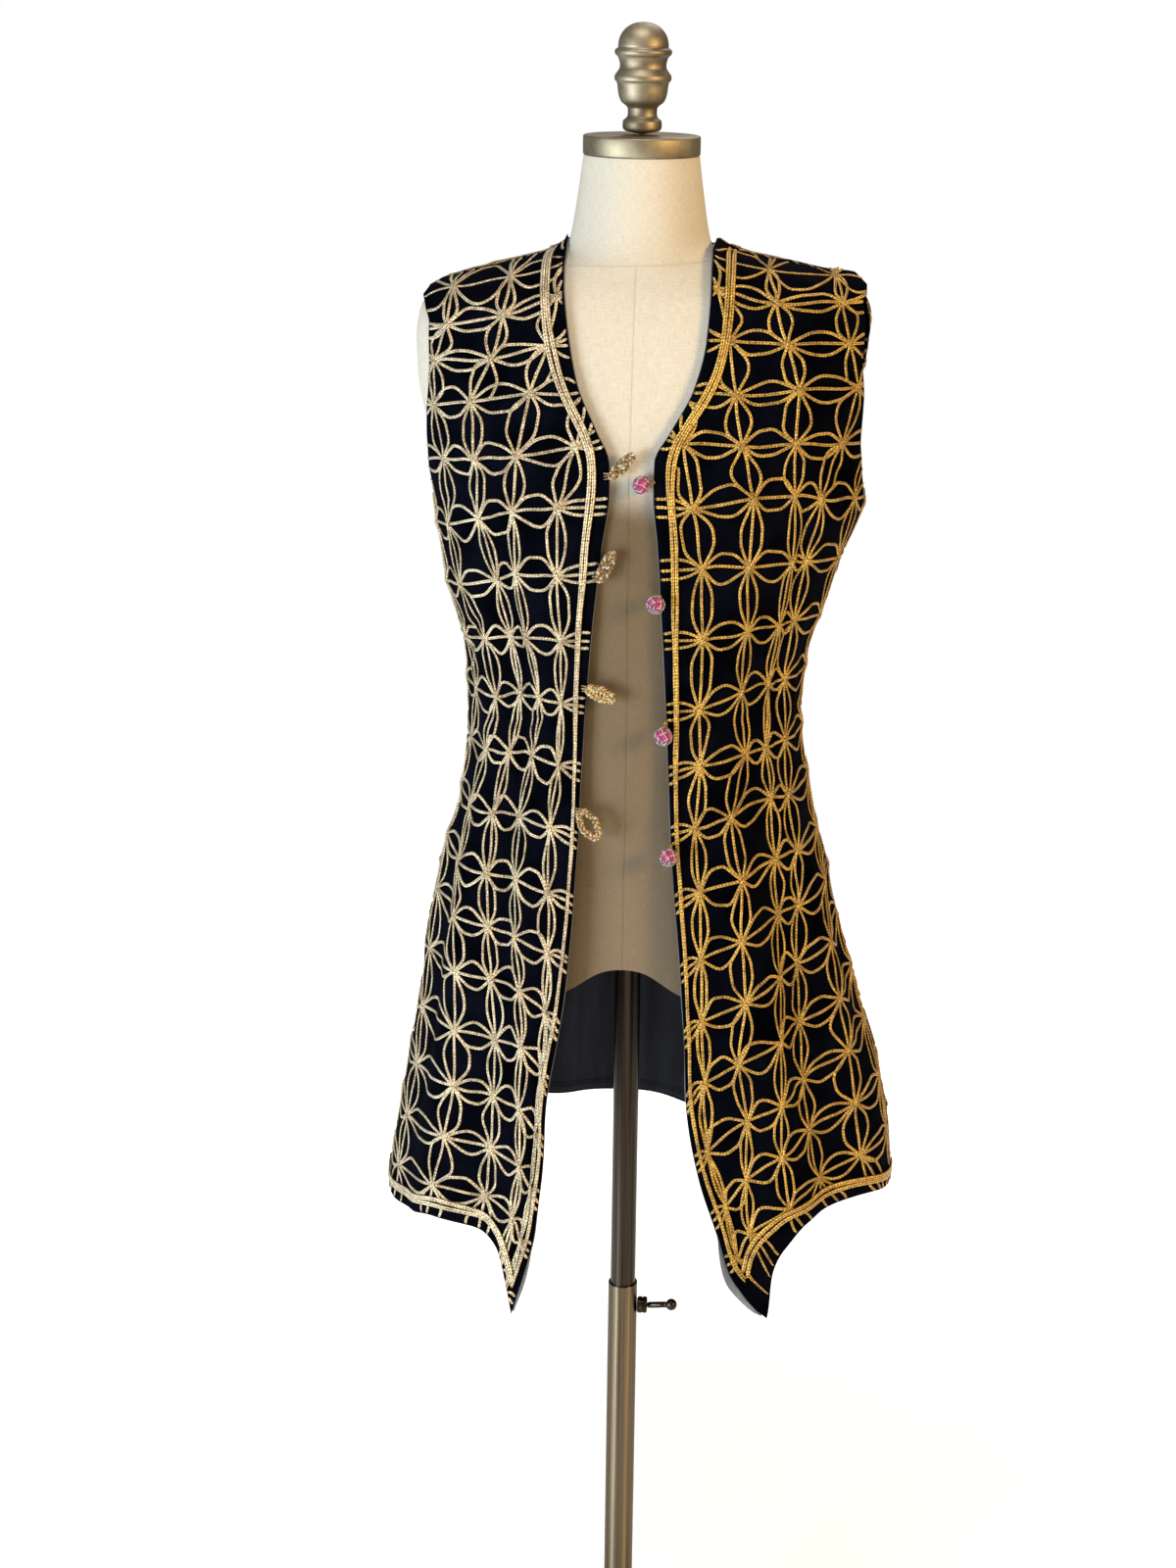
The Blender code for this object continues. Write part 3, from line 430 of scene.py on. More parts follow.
# The rings that the form and the cloth follow.
formTable = {
    "columns": ("height", "halfWidth", "front", "back", "square"),
    "rows": (
        (1.565, 0.0513, 0.0510, 0.0510, 2.0),
        (1.53, 0.0560, 0.0545, 0.0545, 2.0),
        (1.502, 0.0604, 0.0585, 0.0590, 2.0),
        (1.489, 0.0634, 0.0610, 0.0625, 2.05),
        (1.48, 0.07, 0.0655, 0.069, 2.1),
        (1.471, 0.096, 0.071, 0.0775, 2.15),
        (1.4625, 0.125, 0.0765, 0.085, 2.2),
        (1.454, 0.156, 0.0825, 0.0915, 2.3),
        (1.443, 0.183, 0.088, 0.097, 2.4),
        (1.428, 0.1955, 0.095, 0.102, 2.45),
        (1.405, 0.199, 0.103, 0.106, 2.45),
        (1.37, 0.1975, 0.113, 0.11, 2.4),
        (1.32, 0.188, 0.124, 0.109, 2.35),
        (1.26, 0.174, 0.13, 0.105, 2.3),
        (1.18, 0.156, 0.119, 0.097, 2.25),
        (1.11, 0.139, 0.107, 0.09, 2.25),
        (1.04, 0.133, 0.101, 0.088, 2.25),
        (0.98, 0.138, 0.104, 0.095, 2.3),
        (0.9, 0.154, 0.112, 0.109, 2.3),
        (0.82, 0.164, 0.117, 0.118, 2.3),
        (0.75, 0.164, 0.117, 0.119, 2.3),
    ),
}
easeTable = {  # how far the vest stands off the form
    "columns": ("height", "right", "left", "front", "back"),
    "rows": (
        (1.5, 0.0036, 0.004, 0.003, 0.004),
        (1.49, 0.0024, 0.008, 0.003, 0.0042),
        (1.48, 0.0018, 0.0205, 0.0036, 0.0048),
        (1.47, 0.002, 0.037, 0.0042, 0.0056),
        (1.4585, 0.0036, 0.044, 0.0048, 0.0064),
        (1.44, 0.0056, 0.0205, 0.0055, 0.0066),
        (1.42, 0.0058, 0.02, 0.0062, 0.0068),
        (1.37, 0.0055, 0.021, 0.0065, 0.0065),
        (1.32, 0.0105, 0.0235, 0.0065, 0.0065),
        (1.26, 0.0115, 0.0335, 0.006, 0.0065),
        (1.215, 0.014, 0.026, 0.006, 0.007),
        (1.18, 0.016, 0.023, 0.008, 0.007),
        (1.12, 0.015, 0.02, 0.01, 0.007),
        (1.04, 0.019, 0.024, 0.011, 0.007),
        (0.98, 0.019, 0.029, 0.016, 0.009),
        (0.92, 0.023, 0.031, 0.02, 0.011),
        (0.86, 0.0255, 0.035, 0.024, 0.015),
        (0.79, 0.0315, 0.053, 0.029, 0.021),
        (0.71, 0.044, 0.077, 0.037, 0.028),
        (0.63, 0.057, 0.09, 0.045, 0.034),
        (0.55, 0.067, 0.093, 0.05, 0.039),
    ),
}
edgeTable = {  # distance of each front's edge from the centre plane
    "columns": ("height", "right", "left"),
    "rows": (
        (1.4935, 0.0656, 0.0664),
        (1.456, 0.0622, 0.066),
        (1.416, 0.0562, 0.0635),
        (1.377, 0.047, 0.054),
        (1.34, 0.03, 0.0345),
        (1.315, 0.0186, 0.0215),
        (1.288, 0.0176, 0.0215),
        (1.24, 0.0235, 0.0257),
        (1.17, 0.031, 0.0302),
        (1.1, 0.0365, 0.0343),
        (1.02, 0.0405, 0.0385),
        (0.94, 0.0432, 0.044),
        (0.86, 0.048, 0.0522),
        (0.79, 0.0558, 0.0578),
        (0.725, 0.0662, 0.0615),
        (0.66, 0.0688, 0.074),
        (0.6, 0.075, 0.0940),
        (0.565, 0.083, 0.1050),
        (0.548, 0.088, 0.1190),
        (0.533, 0.0925, 0.1385),
        (0.51, 0.0985, 0.1500),
    ),
}
armholeTable = {  # rise is 0 at the underarm and 1 at the shoulder's tip
    "columns": ("rise", "front", "back", "leftFront", "leftBack"),
    "rows": (
        (0.0, 0.0, 0.0, 0.0, 0.0),
        (0.05, 0.030, 0.027, 0.029, 0.030),
        (0.18, 0.047, 0.042, 0.044, 0.048),
        (0.42, 0.061, 0.053, 0.056, 0.061),
        (0.66, 0.066, 0.057, 0.060, 0.068),
        (0.86, 0.060, 0.054, 0.049, 0.070),
        (0.95, 0.043, 0.040, 0.033, 0.058),
        (1.0, 0.0, 0.0, 0.0, 0.0),
    ),
}
hemTable = {  # height of the hem, from the front edge or back centre to the side seam
    "columns": ("share", "right", "left", "back", "backLeft"),
    "rows": (
        (0.0, 0.5170, 0.5360, 0.6010, 0.6010),
        (0.04, 0.5520, 0.5680, 0.6010, 0.6005),
        (0.1, 0.5775, 0.5870, 0.6010, 0.5985),
        (0.22, 0.5930, 0.6060, 0.6005, 0.5910),
        (0.38, 0.5970, 0.6110, 0.6000, 0.5850),
        (0.55, 0.5865, 0.6160, 0.5980, 0.5830),
        (0.8, 0.5760, 0.6055, 0.5920, 0.5840),
        (1.0, 0.5820, 0.5940, 0.5860, 0.5860),
    ),
}
foldTable = {
    # angle from the front centre at bust, waist and hem, half breadth, and depth at each
    "right": (
        (47.0, 46.0, 41.0, 6.5, -0.0010, -0.0050, -0.0080),
        (60.0, 60.0, 55.0, 8.0, 0.0005, 0.0030, 0.0070),
        (74.0, 73.0, 70.0, 7.0, -0.0010, -0.0030, -0.0050),
        (112.0, 112.0, 110.0, 9.0, 0.0000, -0.0020, -0.0090),
        (133.0, 134.0, 131.0, 9.0, 0.0000, 0.0010, 0.0080),
        (154.0, 155.0, 152.0, 9.0, 0.0000, -0.0030, -0.0090),
    ),
    "left": (
        (40.0, 38.0, 50.0, 7.0, 0.0000, 0.0020, 0.0050),
        (52.0, 52.0, 62.0, 6.5, -0.0015, -0.0055, -0.0100),
        (66.0, 66.0, 75.0, 7.5, 0.0005, 0.0030, 0.0060),
        (110.0, 110.0, 108.0, 9.0, 0.0000, -0.0020, -0.0080),
        (131.0, 132.0, 130.0, 9.0, 0.0000, 0.0010, 0.0090),
        (151.0, 152.0, 150.0, 9.0, 0.0000, -0.0030, -0.0100),
    ),
}
cloth = {
    "shoulderLift": 0.0029,
    "neckPoint": 1.4935,
    "backNeck": 1.4790,
    "neckShare": 0.36,  # part of the back's upper border that is neckline
    "tip": {"right": 1.4460, "left": 1.4585},
    "underarm": {"right": 1.2490, "left": 1.2580},
    "velvet": 0.0013,
    "lining": 0.0010,
    "gap": 0.0003,
    "bust": 1.250,
    "waist": 1.040,
    "hem": 0.580,
    "foldTop": 1.360,
    "calmBelow": 0.03,  # near the shoulders the creases fade to this share over this height
    "calmOver": 0.10,
    "calmLeast": 0.15,
    "fineColumns": 161,  # before the points are spaced evenly
    "rimBulge": 0.8,
}
sign = {"right": -1.0, "left": 1.0}


# Values of a column at the places, on a curve without overshoot.
def smoothAt(table, name, at):
    rows = np.array(table["rows"])
    places, values = rows[:, 0], rows[:, table["columns"].index(name)]
    if places[0] > places[-1]:
        places, values = places[::-1], values[::-1]
    at = np.clip(np.asarray(at, float), places[0], places[-1])
    spans = np.diff(places)
    rises = np.diff(values) / spans
    slopes = np.zeros(len(values))
    same = rises[:-1] * rises[1:] > 0
    slopes[1:-1][same] = 2 * rises[:-1][same] * rises[1:][same] / (rises[:-1] + rises[1:])[same]
    slopes[0], slopes[-1] = rises[0], rises[-1]
    i = np.clip(np.searchsorted(places, at, side="right") - 1, 0, len(spans) - 1)
    t = (at - places[i]) / spans[i]
    start = values[i] * (1 + 2 * t) + slopes[i] * spans[i] * t
    end = values[i + 1] * (3 - 2 * t) - slopes[i + 1] * spans[i] * (1 - t)
    return start * (1 - t) ** 2 + end * t**2


def formRing(height):
    return [smoothAt(formTable, name, height) for name in formTable["columns"][1:]]


def vestRing(side, height):
    halfWidth, front, back, square = formRing(height - cloth["shoulderLift"])
    ease = {name: smoothAt(easeTable, name, height) for name in easeTable["columns"][1:]}
    return halfWidth + ease[side], front + ease["front"], back + ease["back"], square


def ringRadius(ring, angle):
    halfWidth, front, back, square = ring
    depth = np.where(np.cos(angle) > 0, front, back)
    across = np.abs(np.sin(angle)) / halfWidth
    along = np.abs(np.cos(angle)) / depth
    return (across**square + along**square) ** (-1.0 / square)


def foldDepth(side, angle, height):
    down = np.clip((cloth["foldTop"] - height) / (cloth["foldTop"] - cloth["bust"]), 0.0, 1.0)
    places = (cloth["hem"], cloth["waist"], cloth["bust"])
    total = 0.0
    for bust, waist, hem, breadth, atBust, atWaist, atHem in foldTable[side]:
        centre = np.interp(height, places, (hem, waist, bust))
        depth = np.interp(height, places, (atHem, atWaist, atBust))
        off = (np.degrees(angle) - centre) / breadth
        total = total + down * depth * np.exp(-off * off)
    return total


def vestPoint(side, angle, height):
    radius = ringRadius(vestRing(side, height), angle) + foldDepth(side, angle, height)
    return np.stack([sign[side] * radius * np.sin(angle), -radius * np.cos(angle), height + 0 * radius], -1)


def angleAtX(side, x, height):
    halfWidth, front, _, square = vestRing(side, height)
    share = np.minimum(x / halfWidth, 1.0)
    return np.arctan2(x, front * (1.0 - share**square) ** (1.0 / square))


def angleAtDepth(side, depth, height, behind):
    halfWidth, front, back, square = vestRing(side, height)
    share = depth / (back if behind else front)
    x = halfWidth * (1.0 - share**square) ** (1.0 / square)
    return np.arctan2(x, -depth if behind else depth)


def edgePoint(side, height):
    x = smoothAt(edgeTable, side, height)
    return Vector(vestPoint(side, angleAtX(side, x, height), np.asarray(height, float)))


# the borders of a panel, each as (angle, height) at shares of its length
def frontEdge(side, share):
    foot = smoothAt(hemTable, side, 0.0)
    height = foot + share * (cloth["neckPoint"] - foot)
    angle = angleAtX(side, smoothAt(edgeTable, side, height), height)
    return np.where(share >= 1.0, math.pi / 2, angle), height


def hemColumn(side, behind):
    if not behind:
        return side
    return "backLeft" if side == "left" else "back"


def sideEdge(side, share, behind):
    foot = smoothAt(hemTable, hemColumn(side, behind), 1.0)
    height = foot + share * (cloth["tip"][side] - foot)
    rise = (height - cloth["underarm"][side]) / (cloth["tip"][side] - cloth["underarm"][side])
    column = "back" if behind else "front"
    column = "left" + column.capitalize() if side == "left" else column
    depth = smoothAt(armholeTable, column, np.clip(rise, 0.0, 1.0))
    angle = angleAtDepth(side, depth, height, behind)
    return np.where(rise <= 0.0, math.pi / 2, angle), height


# Points of a half panel: s from the centre to the side, t from the hem up.
def panelPoints(side, behind, s, t):
    hemName = hemColumn(side, behind)
    first = math.pi if behind else frontEdge(side, np.zeros(1))[0][0]
    hemAngle = first + s * (math.pi / 2 - first)
    hemHeight = smoothAt(hemTable, hemName, s)
    if behind:
        foot = hemTable["rows"][0][3]
        centreAngle, centreHeight = math.pi + 0 * t, foot + t * (cloth["backNeck"] - foot)
    else:
        centreAngle, centreHeight = frontEdge(side, t)
    sideAngle, sideHeight = sideEdge(side, t, behind)
    neck, tip = cloth["neckPoint"], cloth["tip"][side]
    if behind:
        turn = np.clip(s / cloth["neckShare"], 0.0, 1.0)
        share = np.clip((s - cloth["neckShare"]) / (1 - cloth["neckShare"]), 0.0, 1.0)
        topAngle = math.pi * (1 - turn / 2)
        curve = cloth["backNeck"] + turn**2 * (neck - cloth["backNeck"])
        topHeight = np.where(turn < 1.0, curve, neck + share * (tip - neck))
        corner = (math.pi, cloth["backNeck"])
    else:
        topAngle, topHeight = math.pi / 2 + 0 * s, neck + s * (tip - neck)
        corner = (math.pi / 2, neck)
    bottomEnd = float(smoothAt(hemTable, hemName, 1.0))
    bottomStart = float(smoothAt(hemTable, hemName, 0.0))

    def patch(left, right, bottom, top, c00, c10, c01, c11):
        between = (1 - s) * left + s * right + (1 - t) * bottom + t * top
        return between - (1 - s) * (1 - t) * c00 - s * (1 - t) * c10 - (1 - s) * t * c01 - s * t * c11

    angle = patch(centreAngle, sideAngle, hemAngle, topAngle, first, math.pi / 2, corner[0], math.pi / 2)
    height = patch(centreHeight, sideHeight, hemHeight, topHeight, bottomStart, bottomEnd, corner[1], tip)
    return vestPoint(side, angle, height)


def gridNormals(points):
    normals = np.cross(np.gradient(points, axis=1), np.gradient(points, axis=0))
    normals /= np.linalg.norm(normals, axis=2, keepdims=True) + 1e-12
    return -normals if (normals * points)[..., :2].sum() < 0 else normals


creases = {
    # each crease is a line of (u, height at the front edge), its depth and half breadth
    "right": (
        (
            ((0.086, 1.285), (0.089, 1.197), (0.075, 1.131), (0.066, 1.066), (0.078, 1.005), (0.092, 0.90)),
            -0.0030,
            0.0036,
        ),
        (((0.092, 0.92), (0.086, 0.80), (0.070, 0.70), (0.070, 0.60)), -0.0022, 0.0060),
        (((0.104, 1.270), (0.106, 1.180), (0.094, 1.120), (0.088, 1.050)), 0.0016, 0.0060),
        (((0.030, 1.048), (0.075, 1.040), (0.125, 1.052)), -0.0024, 0.0062),
        (((0.055, 1.018), (0.105, 1.012), (0.150, 1.026)), -0.0018, 0.0058),
        (((0.120, 1.160), (0.150, 1.120), (0.172, 1.090)), -0.0022, 0.0070),
        (((0.100, 1.330), (0.140, 1.300), (0.180, 1.275)), -0.0020, 0.0090),
        (((0.030, 0.760), (0.034, 0.680), (0.030, 0.600)), -0.0026, 0.0080),
        (((0.165, 0.930), (0.175, 0.800), (0.186, 0.640)), -0.0030, 0.0130),
    ),
    "left": (
        (((0.140, 1.300), (0.133, 1.205), (0.125, 1.130), (0.118, 1.075), (0.122, 1.000)), -0.0034, 0.0036),
        (((0.122, 1.020), (0.138, 0.930), (0.143, 0.830), (0.141, 0.720), (0.128, 0.610)), -0.0030, 0.0044),
        (((0.156, 1.290), (0.150, 1.190), (0.144, 1.090), (0.152, 0.960)), 0.0018, 0.0075),
        (((0.045, 1.040), (0.085, 1.046), (0.115, 1.060)), -0.0018, 0.0070),
        (((0.150, 1.062), (0.180, 1.056), (0.205, 1.062)), -0.0020, 0.0064),
        (((0.130, 1.345), (0.165, 1.320), (0.190, 1.290)), -0.0018, 0.0090),
        (((0.030, 0.700), (0.028, 0.640), (0.034, 0.580)), -0.0024, 0.0080),
        (((0.215, 0.900), (0.222, 0.780), (0.228, 0.660)), -0.0030, 0.0140),
    ),
    "back": (
        (((-0.150, 1.060), (-0.080, 1.046), (-0.020, 1.052)), -0.0022, 0.0070),
        (((0.030, 1.050), (0.090, 1.042), (0.160, 1.058)), -0.0024, 0.0070),
        (((-0.110, 1.010), (-0.050, 1.004), (0.020, 1.012)), -0.0018, 0.0065),
        (((-0.085, 1.270), (-0.078, 1.120), (-0.080, 0.960), (-0.090, 0.800)), -0.0024, 0.0050),
        (((0.085, 1.270), (0.080, 1.120), (0.082, 0.950), (0.092, 0.810)), -0.0026, 0.0050),
        (((-0.170, 0.860), (-0.178, 0.740), (-0.182, 0.640)), -0.0034, 0.0130),
        (((0.160, 0.870), (0.172, 0.750), (0.176, 0.640)), -0.0032, 0.0140),
        (((0.010, 0.840), (0.004, 0.730), (0.008, 0.640)), -0.0026, 0.0110),
    ),
}


unevenness = {
    "depth": 0.0007,
    "fade": 0.22,  # share of a crease's length over which it runs out at each end
    "fadePower": 0.7,
    # share of the depth, then the pace across, the pace up and the start of each wave
    "waves": (
        (0.45, (118, 21, 0.6), (-17, 104, 0.0)),
        (0.35, (61, -43, 2.1)),
        (0.30, (39, 57, 4.0), (0, 83, 1.0)),
    ),
}


# Depth of the creases and of the small unevenness of the embroidered cloth.
def creaseDepth(name, u, height):
    total = np.zeros_like(u)
    for line, depth, breadth in creases[name]:
        nearest = np.full(u.shape, 1e9)
        best = np.zeros_like(u)
        lengths = [math.dist(a, b) for a, b in zip(line, line[1:])]
        run, whole = 0.0, sum(lengths)
        for (u0, h0), (u1, h1), length in zip(line, line[1:], lengths):
            share = np.clip(((u - u0) * (u1 - u0) + (height - h0) * (h1 - h0)) / length**2, 0.0, 1.0)
            away = np.hypot(u - u0 - share * (u1 - u0), height - h0 - share * (h1 - h0))
            closer = away < nearest
            nearest = np.where(closer, away, nearest)
            best = np.where(closer, (run + share * length) / whole, best)
            run += length
        fade = np.clip(np.minimum(best, 1 - best) / unevenness["fade"], 0.0, 1.0) ** unevenness["fadePower"]
        total += depth * fade * np.exp(-((nearest / breadth) ** 2))
    puckers = 0.0
    for share, *waves in unevenness["waves"]:
        for across, upward, start in waves:
            share = share * np.sin(across * u + upward * height + start)
        puckers = puckers + share
    return total + unevenness["depth"] * puckers


pulls = {
    # a corner of the cloth drawn off its smooth form: panel, row and column of it, shift and reach
    "hemTip": ("left", 0, 0, (0.0030, 0.0000, -0.0170), 0.026),
    "shoulderTip": ("left", -1, -1, (-0.0030, 0.0000, 0.0075), 0.026),
    "shoulderTipBehind": ("back", -1, -1, (-0.0030, 0.0000, 0.0075), 0.026),
}


def pulled(name, points):
    for panel, row, column, shift, reach in pulls.values():
        if panel == name:
            away = np.linalg.norm(points - points[row, column], axis=-1, keepdims=True)
            points = points + np.exp(-((away / reach) ** 2)) * np.array(shift)
    return points


# A panel's outer face: its points, evenly spaced across, and their normals.
def makePanel(name, rows, columns):
    t = np.linspace(0.0, 1.0, rows)
    s, tt = np.meshgrid(np.linspace(0.0, 1.0, cloth["fineColumns"]), t)
    halves = ("right", "left") if name == "back" else (name,)
    built = {}
    for side in halves:
        raw = panelPoints(side, name == "back", s, tt)
        steps = np.linalg.norm(np.diff(raw, axis=1), axis=2)
        run = np.concatenate([np.zeros((rows, 1)), np.cumsum(steps, axis=1)], axis=1)
        width = run[:, -1]
        even = np.linspace(0.0, 1.0, columns)
        points = np.empty((rows, columns, 3))
        for j in range(rows):
            for k in range(3):
                points[j, :, k] = np.interp(even * width[j], run[j], raw[j, :, k])
        built[side] = (points, width)
    foot = hemTable["rows"][0][3] if name == "back" else float(smoothAt(hemTable, name, 0.0))
    top = cloth["backNeck"] if name == "back" else cloth["neckPoint"]
    edgeHeight = foot + t * (top - foot)
    if name == "back":
        right, left = built["right"], built["left"]
        points = np.concatenate([right[0][:, ::-1], left[0][:, 1:]], axis=1)
        low, high = -right[1], left[1]
        share = np.concatenate([-np.linspace(1, 0, columns), np.linspace(0, 1, columns)[1:]])
        u = np.where(share[None, :] < 0, -share[None, :] * low[:, None], share[None, :] * high[:, None])
    else:
        points, width = built[name]
        low, high = 0 * width, width
        u = np.linspace(0, 1, columns)[None, :] * width[:, None]
    points = pulled(name, points)
    normals = gridNormals(points)
    heights = np.repeat(edgeHeight[:, None], points.shape[1], axis=1)
    calmTop = cloth["neckPoint"] - cloth["calmBelow"]
    calm = np.clip((calmTop - heights) / cloth["calmOver"], cloth["calmLeast"], 1.0)
    points = points + normals * (creaseDepth(name, u, heights) * calm)[..., None]
    normals = gridNormals(points)
    panel = {"name": name, "points": points, "normals": normals, "u": u, "low": low, "high": high}
    return {**panel, "foot": foot, "top": top, "rows": rows}


# Points and normals of the panel at distances u from its edge and heights of its rows.
def onPanel(panel, u, height):
    u, height = np.broadcast_arrays(np.asarray(u, float), np.asarray(height, float))
    row = (height - panel["foot"]) / (panel["top"] - panel["foot"]) * (panel["rows"] - 1)
    row = np.clip(row, 0.0, panel["rows"] - 1.000001)
    j = row.astype(int)
    f = (row - j)[..., None]
    found = []
    for jj in (j, j + 1):
        uRow = panel["u"][jj]
        columns = uRow.shape[-1]
        k = np.clip((uRow <= u[..., None]).sum(-1) - 1, 0, columns - 2)
        first = np.take_along_axis(uRow, k[..., None], -1)[..., 0]
        second = np.take_along_axis(uRow, k[..., None] + 1, -1)[..., 0]
        g = ((u - first) / (second - first))[..., None]  # beyond the panel it runs on straight
        points = panel["points"][jj, k] * (1 - g) + panel["points"][jj, k + 1] * g
        gIn = np.clip(g, 0.0, 1.0)
        normals = panel["normals"][jj, k] * (1 - gIn) + panel["normals"][jj, k + 1] * gIn
        found.append((points, normals))
    points = found[0][0] * (1 - f) + found[1][0] * f
    normals = found[0][1] * (1 - f) + found[1][1] * f
    return points, normals / np.linalg.norm(normals, axis=-1, keepdims=True)


def widthAt(panel, height):
    t = np.linspace(panel["foot"], panel["top"], panel["rows"])
    return np.interp(height, t, panel["low"]), np.interp(height, t, panel["high"])


# Making meshes.
def newPiece(name, points, faces, finish, body):
    mesh = bpy.data.meshes.new(name)
    mesh.from_pydata([tuple(p) for p in points], [], [tuple(f) for f in faces])
    mesh.update()
    mesh.shade_smooth()
    mesh.materials.append(finish)
    piece = bpy.data.objects.new(name, mesh)
    bpy.context.scene.collection.objects.link(piece)
    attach(piece, body)
    return piece


# A closed wall between two grids of points, its edges rounded.
def shellOf(name, outer, inner, finish, body, rim=3):
    rows, columns = outer.shape[:2]
    count = rows * columns
    index = np.arange(count).reshape(rows, columns)
    loop = np.concatenate([index[0, :-1], index[:-1, -1], index[-1, :0:-1], index[:0:-1, 0]])
    points = [outer.reshape(-1, 3), inner.reshape(-1, 3)]
    quads = np.stack([index[:-1, :-1], index[:-1, 1:], index[1:, 1:], index[1:, :-1]], -1).reshape(-1, 4)
    faces = [quads, quads[:, ::-1] + count]
    outerLoop, innerLoop = outer.reshape(-1, 3)[loop], inner.reshape(-1, 3)[loop]
    middle = (outerLoop + innerLoop) / 2
    thick = np.linalg.norm(outerLoop - innerLoop, axis=1, keepdims=True)
    beside = np.concatenate([index[1, :-1], index[:-1, -2], index[-2, :0:-1], index[:0:-1, 1]])
    out = outerLoop - outer.reshape(-1, 3)[beside]
    out /= np.linalg.norm(out, axis=1, keepdims=True) + 1e-12
    ringIndex = [loop]
    for k in range(1, rim + 1):
        turn = math.pi * k / (rim + 1)
        bulge = out * thick / 2 * math.sin(turn) * cloth["rimBulge"]
        ring = middle + (outerLoop - middle) * math.cos(turn) + bulge
        ringIndex.append(2 * count + (k - 1) * len(loop) + np.arange(len(loop)))
        points.append(ring)
    ringIndex.append(loop + count)
    for a, b in zip(ringIndex, ringIndex[1:]):
        faces.append(np.stack([a, b, np.roll(b, -1), np.roll(a, -1)], -1))
    piece = newPiece(name, np.concatenate(points), np.concatenate(faces), finish, body)
    fixNormals(piece)
    return piece


def fixNormals(piece):
    solid = bmesh.new()
    solid.from_mesh(piece.data)
    bmesh.ops.recalc_face_normals(solid, faces=solid.faces)
    solid.to_mesh(piece.data)
    solid.free()


cordEnds = {"narrow": 0.55, "over": 0.0030}  # a cord's width at its ends, and how soon it is full


# Flat cords along paths; a path is (points, normals, width, height).
def cordsMesh(name, paths, finish, body, sides=6):
    points, faces, caps, uvs = [], [], [], []
    start = 0
    for line, normals, width, height in paths:
        count = len(line)
        tangent = np.gradient(line, axis=0)
        tangent /= np.linalg.norm(tangent, axis=1, keepdims=True) + 1e-12
        across = np.cross(tangent, normals)
        across /= np.linalg.norm(across, axis=1, keepdims=True) + 1e-12
        upward = np.cross(across, tangent)
        run = np.concatenate([[0.0], np.cumsum(np.linalg.norm(np.diff(line, axis=0), axis=1))])
        ends = np.minimum(run, run[-1] - run)
        taper = np.clip(cordEnds["narrow"] + ends / cordEnds["over"], 0.0, 1.0)[:, None]
        turns = [2 * math.pi * (k + 0.5) / sides for k in range(sides)]
        for turn in turns:
            sideways = across * (width / 2 * math.cos(turn)) * taper
            points.append(line + sideways + upward * (height / 2 * math.sin(turn)) * taper)
        i = np.arange(count - 1)
        for k in range(sides):
            a, b = start + k * count + i, start + (k + 1) % sides * count + i
            faces.append(np.stack([a, a + 1, b + 1, b], -1))
            first, second = math.cos(turns[k]), math.cos(turns[(k + 1) % sides])
            corners = ((run[:-1], first), (run[1:], first), (run[1:], second), (run[:-1], second))
            uv = np.stack([np.stack([reach, place + 0 * reach], -1) for reach, place in corners], 1)
            uvs.append(uv.reshape(-1, 2))
        caps.append(tuple(start + k * count for k in range(sides))[::-1])
        caps.append(tuple(start + k * count + count - 1 for k in range(sides)))
        start += sides * count
    allFaces = [tuple(f) for f in np.concatenate(faces)] + caps
    piece = newPiece(name, np.concatenate(points), allFaces, finish, body)
    uvs.append(np.zeros((len(caps) * sides, 2)))
    layer = piece.data.uv_layers.new(name="UVMap")
    layer.data.foreach_set("uv", np.concatenate(uvs).ravel())
    return piece


# The vest's panels.
panelGrids = {"right": (180, 84), "left": (180, 84), "back": (150, 76)}


def velvetPanel(panel, finish, nodeName):
    outer = panel["points"]
    inner = outer - panel["normals"] * cloth["velvet"]
    piece = shellOf("velvet_" + panel["name"], outer, inner, finish, "figure")
    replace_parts(piece, nodeName)
    return piece


liningSet = {
    "top": 0.880,  # above this only a facing along the front edge remains
    "facing": 0.016,
    "peep": 0.0009,  # how far the lining shows beyond the velvet's front edge
    "tipPeep": {"right": 0.0055, "left": 0.0100},
    "tipReach": 0.065,  # height over which it shows more at the tip of a front
    "hemStep": 0.0030,  # how far it stays above the velvet's hem
    "wrinkle": 0.0009,
    "stitchRise": 0.0090,
    "stitch": (0.0026, 0.0038),  # length and pitch
    "stitchRows": (0.0, 0.0034),
    "stitchFromSide": 0.02,
    "stitchProud": 0.0009,
    "stitchThick": (0.0008, 0.0006),
}


def liningShell(panel, name, heights, low, high, columns, finish, wrinkled):
    share = np.linspace(0.0, 1.0, columns)
    u = low[:, None] + (high - low)[:, None] * share[None, :]
    rise = heights[:, None]
    points, normals = onPanel(panel, u, rise + 0 * u)
    wrinkle = np.abs(liningSet["wrinkle"] * np.sin(96 * u + 9 * rise) * np.sin(41 * u - 5 * rise + 1.0))
    thick = cloth["lining"] + (wrinkle if wrinkled else 0 * wrinkle)
    depth = cloth["velvet"] + cloth["gap"]
    outer = points - normals * depth
    inner = points - normals * (depth + thick)[..., None]
    return shellOf(name, outer, inner, finish, "figure", rim=2)


